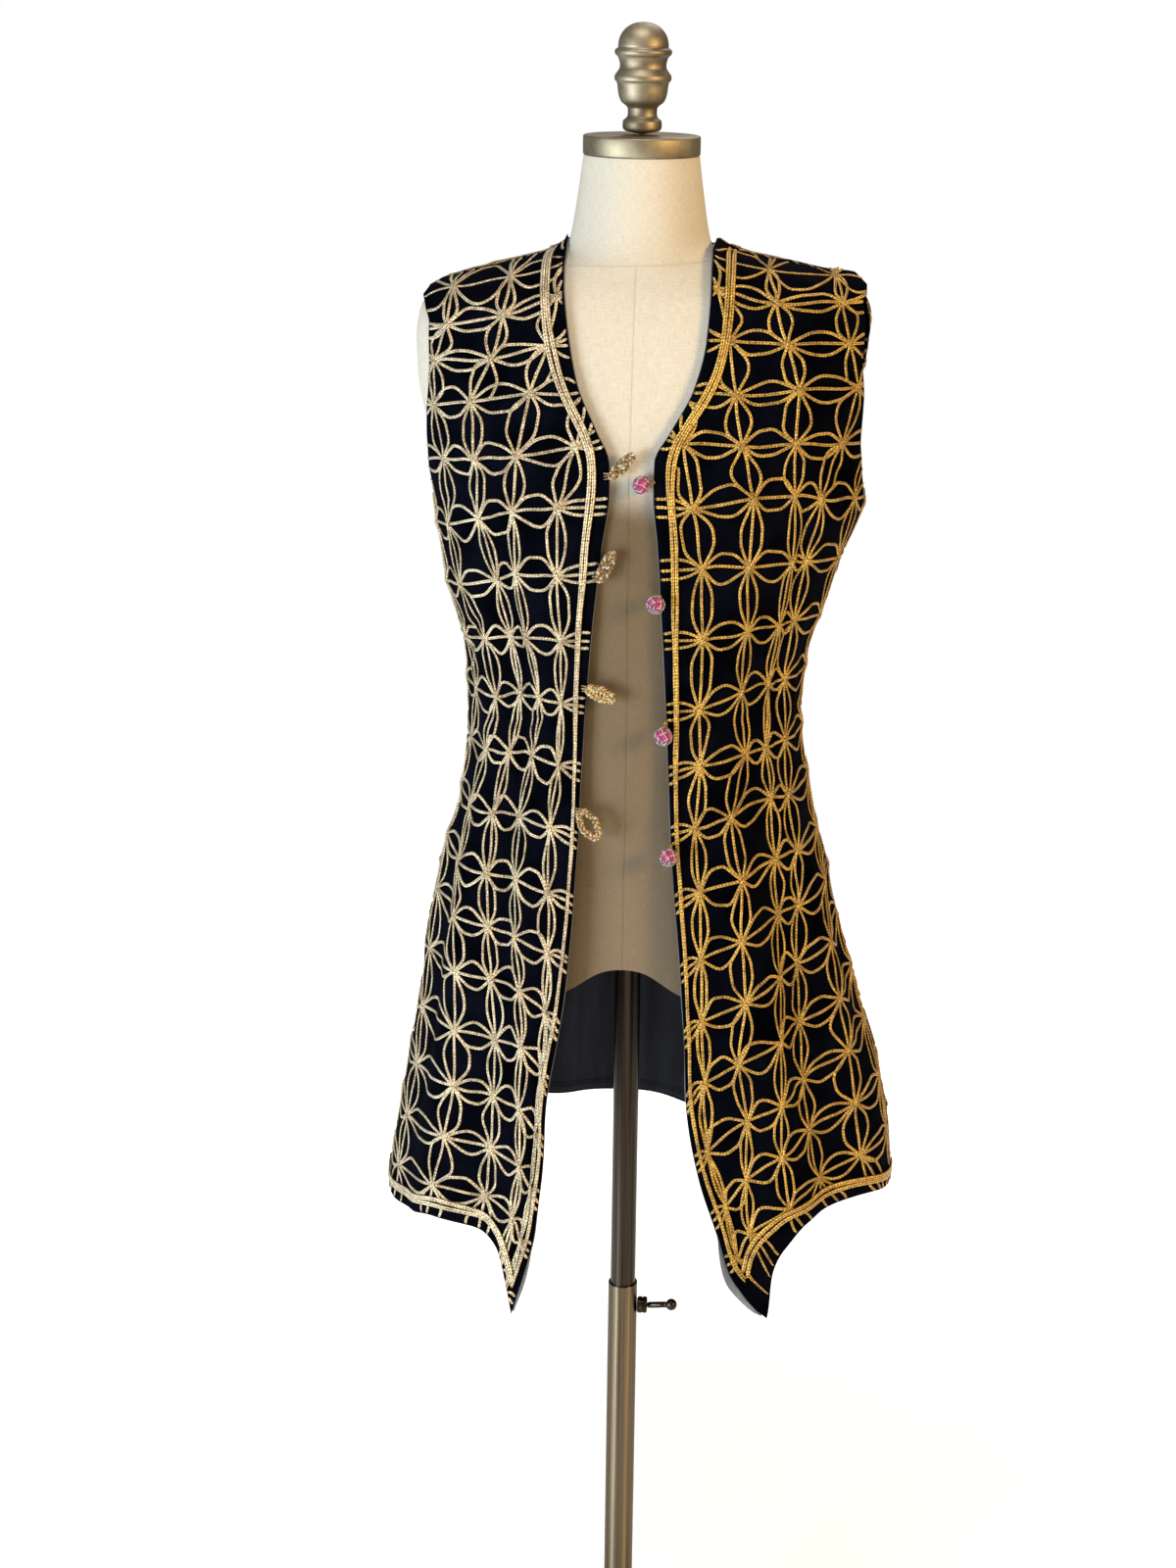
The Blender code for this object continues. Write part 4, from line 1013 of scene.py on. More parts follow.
def liningPanel(panel, finish, nodeName, thread):
    name = panel["name"]
    heights = np.linspace(panel["foot"] + liningSet["hemStep"], liningSet["top"], 96)
    low, high = widthAt(panel, heights)
    if name != "back":
        nearTip = np.clip(1 - (heights - panel["foot"]) / liningSet["tipReach"], 0.0, 1.0)
        low = low - liningSet["peep"] - liningSet["tipPeep"][name] * np.sin(math.pi * nearTip**0.8)
    piece = liningShell(panel, "lining_" + name, heights, low, high, 60, finish, True)
    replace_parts(piece, nodeName)
    if name == "back":
        return piece, stitchRow(panel, thread)
    heights = np.linspace(liningSet["top"] + 0.0004, panel["top"] - 0.002, 150)
    low = 0 * heights - liningSet["peep"]
    facing = liningShell(panel, "facing_" + name, heights, low, low + liningSet["facing"], 7, finish, False)
    return piece, facing


# The stitches that hold up the back's hem, on the lining's inner face.
def stitchRow(panel, finish):
    length, pitch = liningSet["stitch"]
    fromSide = liningSet["stitchFromSide"]
    low, high = widthAt(panel, panel["foot"] + fromSide)
    inside = cloth["velvet"] + cloth["gap"] + cloth["lining"] + liningSet["stitchProud"]
    paths = []
    for row in liningSet["stitchRows"]:
        for start in np.arange(low + fromSide, high - fromSide, pitch):
            u = start + np.linspace(0.0, length, 4)
            place, normals = onPanel(panel, u, panel["foot"] + liningSet["stitchRise"] + row + 0 * u)
            paths.append((place - normals * inside, -normals, *liningSet["stitchThick"]))
    return cordsMesh("hem_stitches", paths, finish, "figure", sides=4)


# The couched lattice.
lattice = {
    "strandWidth": 0.0031,
    "strandHeight": 0.0017,
    "leastWidth": 0.66,  # share of the width left where creases squeeze the columns
    "step": 0.0033,  # between the points of a strand
    "margin": 0.0012,  # a strand ends this far inside the cloth's edge
    "seamShare": 0.1,  # of that margin at the shoulder seams, where a little height is a long way
    "seamReach": 0.007,  # height below the seam over which the strands have more points
    "bowLevel": 0.0142,  # how far the outer strands of a level link bow
    "bowUp": 0.0127,
    "levelShare": 0.25,  # of the distance between rows, where those are close
    "leastLevel": 0.0072,
    "upShare": 0.25,  # of the distance between columns
    "bowOfLength": 0.27,
    "levelOfLength": 0.58,  # creases close up the columns but not the rows
    "edgeBow": 0.0075,  # where a row runs out under the band to the edge
    "nodeSlip": 0.0011,
    "nodeReach": 0.0065,
    "corners": (0.34, 0.66),  # where a lens turns, its slips, and how soft its corners are
    "cornerSlip": 0.055,
    "riseSlip": 0.10,
    "soft": 0.065,
    "softSlip": 0.03,
    "reachSlip": 0.11,
    "wander": (0.0007, 0.0005),  # of a strand between its nodes, in one wave and in two
    "widthSlip": 0.03,
    "lift": 0.0006,  # off the cloth, and how much more where strands cross at a node
    "crossing": 0.0005,
    "bandLift": 0.0005,
    "besideBand": 0.0022,
    "spareAbove": 0.05,  # rows and columns to spare beyond the charted ones
    "spareBelow": 0.054,
    "spareBeside": 50,
    "beyondEdge": 80,
    "opening": 0.022,  # how soon the three strands part on their way to the edge
    "bandFrom": 1.304,
    "levelTo": 1.432,  # above this the shoulders lie too level for true heights
}
nodeRows = {
    # height of each row near the front edge, at its middle and far from it
    "places": (0.04, 0.09, 0.20),
    "right": (
        (1.478, 1.482, 1.492), (1.449, 1.454, 1.466), (1.410, 1.419, 1.440), (1.373, 1.377, 1.386),
        (1.319, 1.322, 1.328), (1.263, 1.260, 1.252), (1.196, 1.194, 1.190), (1.131, 1.130, 1.139),
        (1.066, 1.069, 1.087), (1.001, 1.009, 1.034), (0.938, 0.942, 0.971), (0.878, 0.878, 0.913),
        (0.827, 0.823, 0.860), (0.778, 0.771, 0.800), (0.730, 0.711, 0.733), (0.664, 0.656, 0.670),
        (0.613, 0.602, 0.612), (0.566, 0.551, 0.556),
    ),
    "left": (
        (1.483, 1.487, 1.495), (1.459, 1.467, 1.486), (1.417, 1.428, 1.452), (1.372, 1.384, 1.410),
        (1.325, 1.331, 1.344), (1.266, 1.279, 1.283), (1.206, 1.209, 1.217), (1.135, 1.143, 1.160),
        (1.064, 1.077, 1.106), (1.004, 1.009, 1.045), (0.949, 0.951, 0.990), (0.887, 0.888, 0.930),
        (0.831, 0.827, 0.876), (0.771, 0.767, 0.818), (0.709, 0.707, 0.757), (0.656, 0.650, 0.700),
        (0.600, 0.606, 0.642), (0.560, 0.558, 0.588),
    ),
}
edgeRises = {
    # millimetres by which each row climbs on its way out to the edge
    "right": (0, 0, 0, 0, 11, 9, 13, 11, 9, 10, 13, 15, 11, -3, -6, 0, 0, 0),
    "left": (0, 0, 0, 0, 5, 5, 5, 8, 9, 9, 9, 9, 2, 0, 0, 0, 0, 0),
}
nodeColumns = {
    # millimetres from the front edge of the node on each column, one line for each row
    "right": (
        (-60, -5, 49, 105, 160, 215), (-50, 5, 55, 109, 165, 220), (-35, 18, 69, 127, 180, 235),
        (-8, 43, 98, 141, 192, 245), (30, 81, 125, 158, 204, 255), (45, 88, 122, 166, 212, 262),
        (40, 78, 100, 149, 195, 245), (36, 67, 84, 113, 162, 212), (33, 57, 76, 101, 139, 187),
        (38, 66, 92, 118, 160, 208), (48, 82, 109, 150, 197, 246), (49, 84, 114, 158, 204, 252),
        (42, 78, 109, 146, 203, 252), (35, 69, 99, 138, 204, 254), (24, 60, 90, 132, 206, 258),
        (29, 61, 92, 132, 212, 266), (28, 55, 92, 138, 220, 276), (25, 51, 90, 142, 224, 280),
    ),
    "left": (
        (-60, -5, 50, 112, 165, 218), (-50, 5, 56, 120, 172, 225), (-35, 18, 70, 128, 182, 235),
        (-10, 39, 89, 147, 198, 248), (24, 71, 113, 164, 210, 258), (34, 88, 126, 152, 200, 250),
        (40, 83, 125, 141, 196, 246), (40, 83, 117, 134, 188, 238), (40, 82, 108, 128, 182, 232),
        (44, 89, 109, 132, 184, 234), (39, 74, 117, 138, 194, 246), (43, 81, 123, 146, 198, 250),
        (39, 78, 125, 146, 194, 248), (39, 82, 124, 145, 188, 244), (40, 80, 120, 147, 191, 246),
        (30, 76, 113, 143, 195, 250), (29, 60, 99, 136, 194, 252), (20, 48, 90, 135, 184, 246),
    ),
}
backLattice = {
    "firstRow": 1.446,
    "rowPitch": 0.0585,
    "rows": 16,
    "places": (1.50, 1.25, 1.04, 0.60),  # heights at which the columns are given
    "columns": (
        (0.000, 0.000, 0.000, 0.000),
        (0.054, 0.053, 0.046, 0.055),
        (0.108, 0.106, 0.086, 0.112),
        (0.162, 0.158, 0.128, 0.168),
        (0.216, 0.210, 0.172, 0.224),
        (0.270, 0.262, 0.220, 0.282),
        (0.324, 0.314, 0.270, 0.340),
    ),
}


def slip(amount):
    return float(noiseSource.normal(0.0, amount))


# The lattice's nodes in (u, height) of the panel's rows, with a row and a column to spare all round.
def frontNodes(side):
    rows = []
    pairs = list(zip(nodeRows[side], nodeColumns[side], edgeRises[side]))
    pairs.insert(0, ([h + lattice["spareAbove"] for h in pairs[0][0]], pairs[0][1], 0))
    pairs.append(([h - lattice["spareBelow"] for h in pairs[-1][0]], pairs[-1][1], 0))
    nearMiddle, far = nodeRows["places"][1:]
    for heights, columns, rise in pairs:
        places = [columns[0] - lattice["beyondEdge"]] + list(columns) + [columns[-1] + lattice["spareBeside"]]
        row = []
        for millimetres in places:
            u = millimetres / 1000
            height = float(np.interp(u, nodeRows["places"], heights))
            height += max(u - far, 0.0) * (heights[2] - heights[1]) / (far - nearMiddle)
            if millimetres == places[0] and rise:
                height += rise / 1000 * lattice["beyondEdge"] / columns[0]
            row.append((u + slip(lattice["nodeSlip"]), height + slip(lattice["nodeSlip"])))
        rows.append(row)
    return rows


def backNodes():
    rows = []
    reach = len(backLattice["columns"]) - 1
    for r in range(-1, backLattice["rows"]):
        height = backLattice["firstRow"] - backLattice["rowPitch"] * r
        row = []
        for c in range(-reach, reach + 1):
            line = backLattice["columns"][abs(c)]
            u = np.interp(-height, [-h for h in backLattice["places"]], line) * (1 if c > 0 else -1)
            row.append((u + slip(lattice["nodeSlip"]), height + slip(lattice["nodeSlip"] * 1.6)))
        rows.append(row)
    return rows


def edgeAcross(panel, height):
    return 0 * height if panel["name"] == "back" else smoothAt(edgeTable, panel["name"], height)


def levelOf(panel, u, height):
    inside = np.clip(height, panel["foot"], lattice["levelTo"])
    onCloth = u if panel["name"] == "back" else np.maximum(u, 0.0)
    return onPanel(panel, onCloth, inside)[0][..., 2] + height - inside


# From (u, height) to the distance from the centre plane and the true height, and back.
def toFlat(panel, nodes):
    u, height = np.array(nodes)[..., 0], np.array(nodes)[..., 1]
    return np.stack([u + edgeAcross(panel, height), levelOf(panel, u, height)], -1)


def fromFlat(panel, flat):
    height = flat[:, 1].copy()
    for _ in range(9):
        u = flat[:, 0] - edgeAcross(panel, height)
        height = height + 0.85 * (flat[:, 1] - levelOf(panel, u, height))
    return np.stack([flat[:, 0] - edgeAcross(panel, height), height], -1)


# The outline of a half lens: up from a node, round two soft corners and down to the next.
def lensShape(x):
    first, second = [corner + slip(lattice["cornerSlip"]) for corner in lattice["corners"]]
    places = np.array([-first, 0.0, first, second, 1.0, 2.0 - second])
    rises = np.array([0.0, 0.0, 1.0 + slip(lattice["riseSlip"]), 1.0 + slip(lattice["riseSlip"]), 0.0, 0.0])
    rises[0], rises[5] = -rises[2], -rises[3]
    soft = lattice["soft"] + abs(slip(lattice["softSlip"]))
    return sum(0.2 * np.interp(x + shift * soft, places, rises) for shift in (-1, -0.5, 0, 0.5, 1))


# Keeps the strands of the first column off the band below the neckline.
def besideBand(panel, path):
    inset, narrowed = bandAt(panel, path[:, 1])
    least = inset + sum(trim["lanes"]) * narrowed + lattice["besideBand"]
    away = path[:, 0] - least
    kept = least + (away + np.sqrt(away**2 + 0.002**2)) / 2
    return np.where(path[:, 1] < lattice["bandFrom"], kept, path[:, 0])


# Three strands along a line of nodes: two bow out and cross at each node, one runs straight.
def strandsAlong(panel, line, bow, level, nearBand=False):
    strands = []
    for k in (-1, 0, 1):
        path, lifts = [], []
        for i, (a, b) in enumerate(zip(line, line[1:])):
            length = max(np.linalg.norm(b - a), 1e-5)
            count = max(7, int(length / lattice["step"]) + 2)
            x = np.linspace(0.0, 1.0, count)[: None if i == len(line) - 2 else -1]
            along = (b - a) / length
            across = np.array([-along[1], along[0]])
            most = lattice["levelOfLength" if level else "bowOfLength"] * length
            reach = min(bow(i), most) * (1 + slip(lattice["reachSlip"]))
            side = k * (-1) ** i
            once, twice = [slip(amount) for amount in lattice["wander"]]
            wander = once * np.sin(math.pi * x) + twice * np.sin(2 * math.pi * x)
            if level and i == 0 and panel["name"] != "back":
                opening = np.clip((1 - x) * length / lattice["opening"], 0.0, 1.0)
                off = side * lattice["edgeBow"] * opening * (2 - opening) + wander
            else:
                off = side * reach * lensShape(x) + wander
            path.append(a[None] + (b - a)[None] * x[:, None] + across[None] * off[:, None])
            nodeNear = np.minimum(x, 1 - x) * length
            over = lattice["crossing"] + 0.0004 * (abs(k) + (k > 0)) + (0.0 if level else 0.0007)
            lifts.append(lattice["lift"] + over * np.exp(-((nodeNear / lattice["nodeReach"]) ** 2)))
        path, lifts = fromFlat(panel, np.concatenate(path)), np.concatenate(lifts)
        if not level and nearBand:
            path[:, 0] = besideBand(panel, path)
        middle = trim["inset"] + sum(trim["lanes"]) / 2
        fromEdge = path[:, 0] if panel["name"] != "back" else 1.0 + 0 * lifts
        for away in (fromEdge - middle, path[:, 1] - panel["foot"] - middle):
            lifts = lifts - (lifts - lattice["bandLift"]) * np.exp(-((away / lattice["nodeReach"]) ** 2))
        strands.append((path, lifts))
    return strands


def insideOf(panel, points, margin):
    low, high = widthAt(panel, points[:, 1])
    top = panel["top"] - margin * lattice["seamShare"]
    across = (points[:, 0] > low + margin) & (points[:, 0] < high - margin)
    return across & (points[:, 1] > panel["foot"] + margin) & (points[:, 1] < top)


# The stretches of a strand that lie on the panel, cut where they reach its edge.
def clipStrand(panel, points, lifts):
    margin = lattice["margin"]
    inside = insideOf(panel, points, margin)
    runs = []
    i = 0
    while i < len(points):
        if not inside[i]:
            i += 1
            continue
        j = i
        while j + 1 < len(points) and inside[j + 1]:
            j += 1
        line, lift = list(points[i : j + 1]), list(lifts[i : j + 1])
        for end, beyond in ((0, i - 1), (-1, j + 1)):
            if not 0 <= beyond < len(points):
                continue
            near, far = points[i if end == 0 else j], points[beyond]
            low, high = 0.0, 1.0
            for _ in range(7):
                middle = (low + high) / 2
                if insideOf(panel, (near + (far - near) * middle)[None], margin)[0]:
                    low = middle
                else:
                    high = middle
            if low > 0.12:
                at = 0 if end == 0 else len(line)
                line.insert(at, near + (far - near) * low)
                lift.insert(at, lift[0 if end == 0 else -1])
        if len(line) > 3:
            runs.append((np.array(line), np.array(lift)))
        i = j + 1
    return runs


# More points by the shoulder seam, so that no strand cuts through the cloth there.
def closerAtSeam(panel, line, lift):
    nearSeam = np.maximum(line[1:, 1], line[:-1, 1]) > panel["top"] - lattice["seamReach"]
    places = [np.arange(1, 5) / 4 if near else np.ones(1) for near in nearSeam]
    at = np.concatenate([[0.0]] + [i + place for i, place in enumerate(places)])
    number = np.arange(len(line))
    finer = np.stack([np.interp(at, number, line[:, 0]), np.interp(at, number, line[:, 1])], -1)
    return finer, np.interp(at, number, lift)


def latticePiece(panel, nodes, finish, name):
    flat = np.array([toFlat(panel, row) for row in nodes])
    gaps = np.abs(np.diff(flat[..., 0], axis=1))
    rises = np.abs(np.diff(flat[..., 1], axis=0))
    strands = []
    firstColumn = 0 if panel["name"] == "back" else 1
    for r, row in enumerate(flat):
        beside = [rises[d] for d in (r - 1, r) if 0 <= d < len(rises)]
        local = sum(beside) / len(beside)

        def bowLevel(i, local=local):
            if firstColumn == 1 and i == 0:
                return lattice["edgeBow"]
            share = lattice["levelShare"] * (local[i] + local[i + 1]) / 2
            return min(lattice["bowLevel"], max(lattice["leastLevel"], share))

        strands += [(*strand, None) for strand in strandsAlong(panel, row, bowLevel, True)]
    for c in range(firstColumn, flat.shape[1]):
        beside = [gaps[:, d] for d in (c - 1, c) if firstColumn <= d < gaps.shape[1]]
        local = sum(beside) / len(beside)

        def bowUp(i, local=local):
            gap = (local[i] + local[i + 1]) / 2
            return min(lattice["bowUp"], lattice["upShare"] * gap * (gap / 0.05) ** 0.5)

        heights = np.array([row[c][1] for row in nodes])[::-1]
        shares = np.clip((local[::-1] / 0.050) ** 0.6, lattice["leastWidth"], 1.0)

        def closing(points, heights=heights, shares=shares):
            return np.interp(points[:, 1], heights, shares)[:, None]

        nearBand = c == firstColumn == 1
        strands += [(*strand, closing) for strand in strandsAlong(panel, flat[:, c], bowUp, False, nearBand)]
    paths = []
    for points, lifts, closing in strands:
        for line, lift in clipStrand(panel, points, lifts):
            line, lift = closerAtSeam(panel, line, lift)
            place, normals = onPanel(panel, line[:, 0], line[:, 1])
            place = place + normals * lift[:, None]
            wide = lattice["strandWidth"] * (1 + slip(lattice["widthSlip"]))
            wide = wide * (closing(line) if closing else 1.0)
            paths.append((place, normals, wide, lattice["strandHeight"]))
    piece = cordsMesh(name, paths, finish, "figure")
    print(name, len(paths), "strands", len(piece.data.polygons), "faces")
    return piece


# The trim.
trim = {
    "inset": 0.0115,
    "cordWidth": 0.0046,
    "cordHeight": 0.0020,
    "lanes": (0.0023, 0.0071),  # middles of the two cords, from the band's near side
    "lift": 0.0022,
    "hemOver": 0.0002,  # the hem's band lies this much over the front's
    "step": 0.0040,
    "corner": 0.004,  # from the bands' corner to the hem band's first point
    "seamGap": 0.0015,
}


bandTable = {
    "columns": ("height", "right", "left", "rightNarrowed", "leftNarrowed"),
    "rows": (
        (1.50, 0.0115, 0.0115, 1.00, 1.00),
        (1.31, 0.0122, 0.0115, 0.94, 0.95),
        (1.25, 0.0130, 0.0128, 0.78, 0.78),
        (1.15, 0.0136, 0.0132, 0.66, 0.70),
        (1.10, 0.0138, 0.0134, 0.56, 0.65),
        (1.00, 0.0134, 0.0130, 0.52, 0.62),
        (0.90, 0.0127, 0.0120, 0.52, 0.60),
        (0.75, 0.0117, 0.0104, 0.52, 0.55),
        (0.60, 0.0110, 0.0100, 0.52, 0.52),
    ),
}


def wobble(run, amount, pace, phase):
    return amount * (np.sin(run * pace + phase) + 0.5 * np.sin(run * pace * 2.3 + 1.7 * phase))


# How far the front band lies from the edge at each height, and how much it is narrowed.
def bandAt(panel, heights):
    if panel["name"] == "back":
        return trim["inset"] + 0 * heights, 1 + 0 * heights
    name = panel["name"]
    return smoothAt(bandTable, name, heights), smoothAt(bandTable, name + "Narrowed", heights)


def frontTrim(panel, finish, side):
    paths = []
    for number, lane in enumerate(trim["lanes"]):
        heights = np.arange(panel["foot"] + trim["inset"] + 0.004, panel["top"] - 0.0008, trim["step"])
        inset, narrowed = bandAt(panel, heights)
        edge = edgeAcross(panel, heights)
        spread = np.arange(-8, 9)
        soft = np.exp(-((spread / 4.0) ** 2))
        middle = np.convolve(np.pad(edge, 8, mode="edge"), soft / soft.sum(), mode="valid")
        keep = np.clip(np.minimum(np.arange(len(edge)), np.arange(len(edge))[::-1]) / 10, 0, 1)
        u = inset + lane * narrowed + (middle - edge) * keep
        u = u + wobble(heights, 0.0004, 41.0, 1.3 * number + sign[side])
        place, normals = onPanel(panel, u, heights)
        wide = trim["cordWidth"] * narrowed[:, None]
        paths.append((place + normals * trim["lift"], normals, wide, trim["cordHeight"]))
    piece = cordsMesh(side + "_front_trim", paths, finish, "figure", sides=8)
    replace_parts(piece, side + "_front_band")
    return piece


def hemTrim(panel, finish, name, nodeName):
    paths = []
    for number, lane in enumerate(trim["lanes"]):
        low, high = widthAt(panel, panel["foot"] + 0.016)
        start = low + trim["seamGap"] if panel["name"] == "back" else trim["inset"] + trim["corner"]
        u = np.arange(start, high - trim["seamGap"], trim["step"])
        heights = panel["foot"] + trim["inset"] + lane + wobble(u, 0.0005, 37.0, 2.1 * number)
        place, normals = onPanel(panel, u, heights)
        raised = place + normals * (trim["lift"] + trim["hemOver"])
        paths.append((raised, normals, trim["cordWidth"], trim["cordHeight"]))
    piece = cordsMesh(name, paths, finish, "figure", sides=8)
    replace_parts(piece, nodeName)
    return piece


# The point of the cloth a distance below another at the same angle, and its normal.
def pointBelow(side, angle, height, distance):
    heights = np.linspace(height + 0.004, height - distance - 0.02, 60)
    points = vestPoint(side, np.full(60, angle), heights)
    run = np.concatenate([[0.0], np.cumsum(np.linalg.norm(np.diff(points, axis=0), axis=1))])
    first = np.interp(-height, -heights, run)
    place = np.array([np.interp(first + distance, run, points[:, k]) for k in range(3)])
    before = vestPoint(side, np.array([angle - 0.02]), np.array([place[2]]))[0]
    after = vestPoint(side, np.array([angle + 0.02]), np.array([place[2]]))[0]
    downward = np.array([np.interp(first + distance + 0.002, run, points[:, k]) for k in range(3)]) - place
    normal = np.cross(after - before, downward)
    normal /= np.linalg.norm(normal)
    return place, normal if normal @ np.array([place[0], place[1], 0.05]) > 0 else -normal


def neckTrim(finish):
    paths = []
    for lane in trim["lanes"]:
        line, normals = [], []
        for k in range(-30, 31):
            side = "left" if k > 0 else "right"
            share = abs(k) / 30
            height = cloth["backNeck"] + share**2 * (cloth["neckPoint"] - cloth["backNeck"])
            place, normal = pointBelow(side, math.pi * (1 - share / 2), height, trim["inset"] + lane)
            line.append(place)
            normals.append(normal)
        line, normals = np.array(line), np.array(normals)
        paths.append((line + normals * trim["lift"], normals, trim["cordWidth"], trim["cordHeight"]))
    piece = cordsMesh("neck_trim", paths, finish, "figure", sides=8)
    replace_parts(piece, "back_neck_band")
    return piece


# Loops and buttons.
loops = {
    # height of the root, pitch, length, width and thickness
    "rows": (
        (1.3020, 46.0, 0.0310, 0.0118, 1.0),
        (1.2100, 66.0, 0.0330, 0.0124, 1.1),
        (1.1070, -22.0, 0.0300, 0.0146, 1.32),
        (0.9935, -57.0, 0.0330, 0.0195, 1.12),
    ),
    "inset": -0.0024,
    "cord": 0.0056,
    "standoff": 0.0036,
    "strand": 0.0024,
    "plaits": 6,
    "sway": (0.00190, 0.00140),  # of a strand in the plait, aside and forward
    "tailReach": 0.0064,
    "tailThick": (0.0015, 0.0012),
}


def makeLoops(finishes):
    for number, (height, pitch, length, width, thick) in enumerate(loops["rows"], start=1):
        tilt = math.radians(pitch)
        root = edgePoint("right", height) + Vector((-loops["inset"], 0.0, 0.0))
        along = Vector((math.cos(tilt), 0.0, math.sin(tilt)))
        across = Vector((-math.sin(tilt), 0.0, math.cos(tilt)))
        count = 200
        middle = []
        for k in range(count):
            turn = 2 * math.pi * k / count
            reach = (length - loops["cord"] * thick) * (1 - math.cos(turn)) / 2
            wide = (width - loops["cord"] * thick) / 2 * math.sin(turn) * (1 - 0.25 * math.cos(turn) ** 2)
            point = root + along * reach + across * wide
            point.y = edgePoint("right", point.z).y - loops["standoff"]
            middle.append(point)
        middle = np.array([tuple(p) for p in middle])
        tangent = np.roll(middle, -1, axis=0) - np.roll(middle, 1, axis=0)
        tangent /= np.linalg.norm(tangent, axis=1, keepdims=True)
        front = np.tile(np.array([0.0, -1.0, 0.0]), (count, 1))
        sideways = np.cross(tangent, front)
        for strand in range(3):
            paths = []
            phase = np.arange(count) / count * 2 * math.pi * loops["plaits"] + strand * 2 * math.pi / 3
            aside, forward = loops["sway"]
            line = middle + sideways * (aside * thick * np.sin(phase))[:, None]
            line = line + front * (forward * thick * np.sin(2 * phase))[:, None]
            line = np.concatenate([line, line[:2]])
            facing = np.concatenate([front, front[:2]])
            paths.append((line, facing, loops["strand"] * thick, loops["strand"] * thick * 0.8))
            tail = strand - 1
            base = np.array(tuple(root)) + np.array([-0.0005, -0.0004, 0.0016 * tail])
            end = base + np.array([-loops["tailReach"], 0.0004, 0.0010 * tail])
            steps = np.linspace(0, 1, 8)[:, None]
            base = base + np.array([0.0016, 0.0, 0.0])
            line = base + (end - base) * steps
            line[:, 1] = [edgePoint("right", z).y - 0.0013 for z in line[:, 2]]
            paths.append((line, np.tile(front[0], (8, 1)), *loops["tailThick"]))
            finish = finishes[number > 2][strand]
            name = "loop_%d_strand_%d" % (number, strand + 1)
            piece = cordsMesh(name, paths, finish, "figure")
            if strand == 0:
                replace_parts(piece, "loop_%d" % number)


buttons = {
    # height of the root, then how far the ball lies across, forward and down, and its shank's length
    "rows": (
        (1.2980, 0.0110, 0.0036, 0.0025, 0.0106),
        (1.1960, 0.0042, 0.0100, 0.0055, 0.0102),
        (1.0790, 0.0024, 0.0102, 0.0122, 0.0130),
        (0.9660, 0.0020, 0.0114, 0.0085, 0.0116),
    ),
    "radius": 0.0085,
    "coreShare": 0.9,  # of the button's radius
    "lumps": 0.045,
    "threads": 5,
    "twist": math.radians(165.0),
    "netReach": math.radians(82),  # how near the poles a thread goes
    "netShare": 0.93,
    "netWidth": {"pale": 0.00072, "dark": 0.00095},
    "threadStart": {"pale": 0.0, "dark": 0.34},  # the dark threads lie between the pale ones
    "ringShare": 0.98,
    "rings": (62, 74),  # degrees up the ball, round the shank's root
}


def ballMesh(name, radius, matrix, finish, lumps):
    rows, columns = 28, 40
    points, faces = [], []
    for j in range(rows + 1):
        lat = math.pi * (j / rows - 0.5)
        for i in range(columns):
            lon = 2 * math.pi * i / columns
            lump = math.sin(9 * lon + 5 * lat) * math.sin(9 * lon - 5 * lat) * math.cos(lat)
            r = radius * (1 + lumps * lump)
            flat = r * math.cos(lat)
            points.append(matrix @ Vector((flat * math.cos(lon), flat * math.sin(lon), r * math.sin(lat))))
    for j in range(rows):
        for i in range(columns):
            nxt = (i + 1) % columns
            faces.append((j * columns + i, j * columns + nxt, (j + 1) * columns + nxt, (j + 1) * columns + i))
    piece = newPiece(name, points, faces, finish, "figure")
    mergePoints(piece, 0.00002)
    return piece


def mergePoints(piece, distance):
    solid = bmesh.new()
    solid.from_mesh(piece.data)
    bmesh.ops.remove_doubles(solid, verts=solid.verts, dist=distance)
    bmesh.ops.recalc_face_normals(solid, faces=solid.faces)
    solid.to_mesh(piece.data)
    solid.free()


def moved(matrix, points):
    return np.array([tuple(matrix @ Vector(p)) for p in points])


# A line on a ball, and the directions out of the ball along it.
def lineOnBall(matrix, radius, lat, lon):
    flatter = radius * np.cos(lat)
    local = np.stack([flatter * np.cos(lon), flatter * np.sin(lon), radius * np.sin(lat) + 0 * lon], -1)
    line = moved(matrix, local)
    normals = line - np.array(tuple(matrix.translation))
    return line, normals / np.linalg.norm(normals, axis=1, keepdims=True)


def netPaths(matrix, kind):
    paths = []
    for hand in (-1, 1):
        for k in range(buttons["threads"]):
            steps = np.linspace(-1.0, 1.0, 36)
            start = k + buttons["threadStart"][kind]
            lon = 2 * math.pi * start / buttons["threads"] + hand * steps * buttons["twist"] / 2
            lon = lon + 0.10 * np.sin(steps * 9 + 2.1 * k + hand)
            share = buttons["netShare"] + 0.02 * hand * np.cos(steps * 12) - 0.004 * (kind == "dark")
            line, normals = lineOnBall(matrix, buttons["radius"] * share, steps * buttons["netReach"], lon)
            paths.append((line, normals, buttons["netWidth"][kind], 0.0008))
    return paths


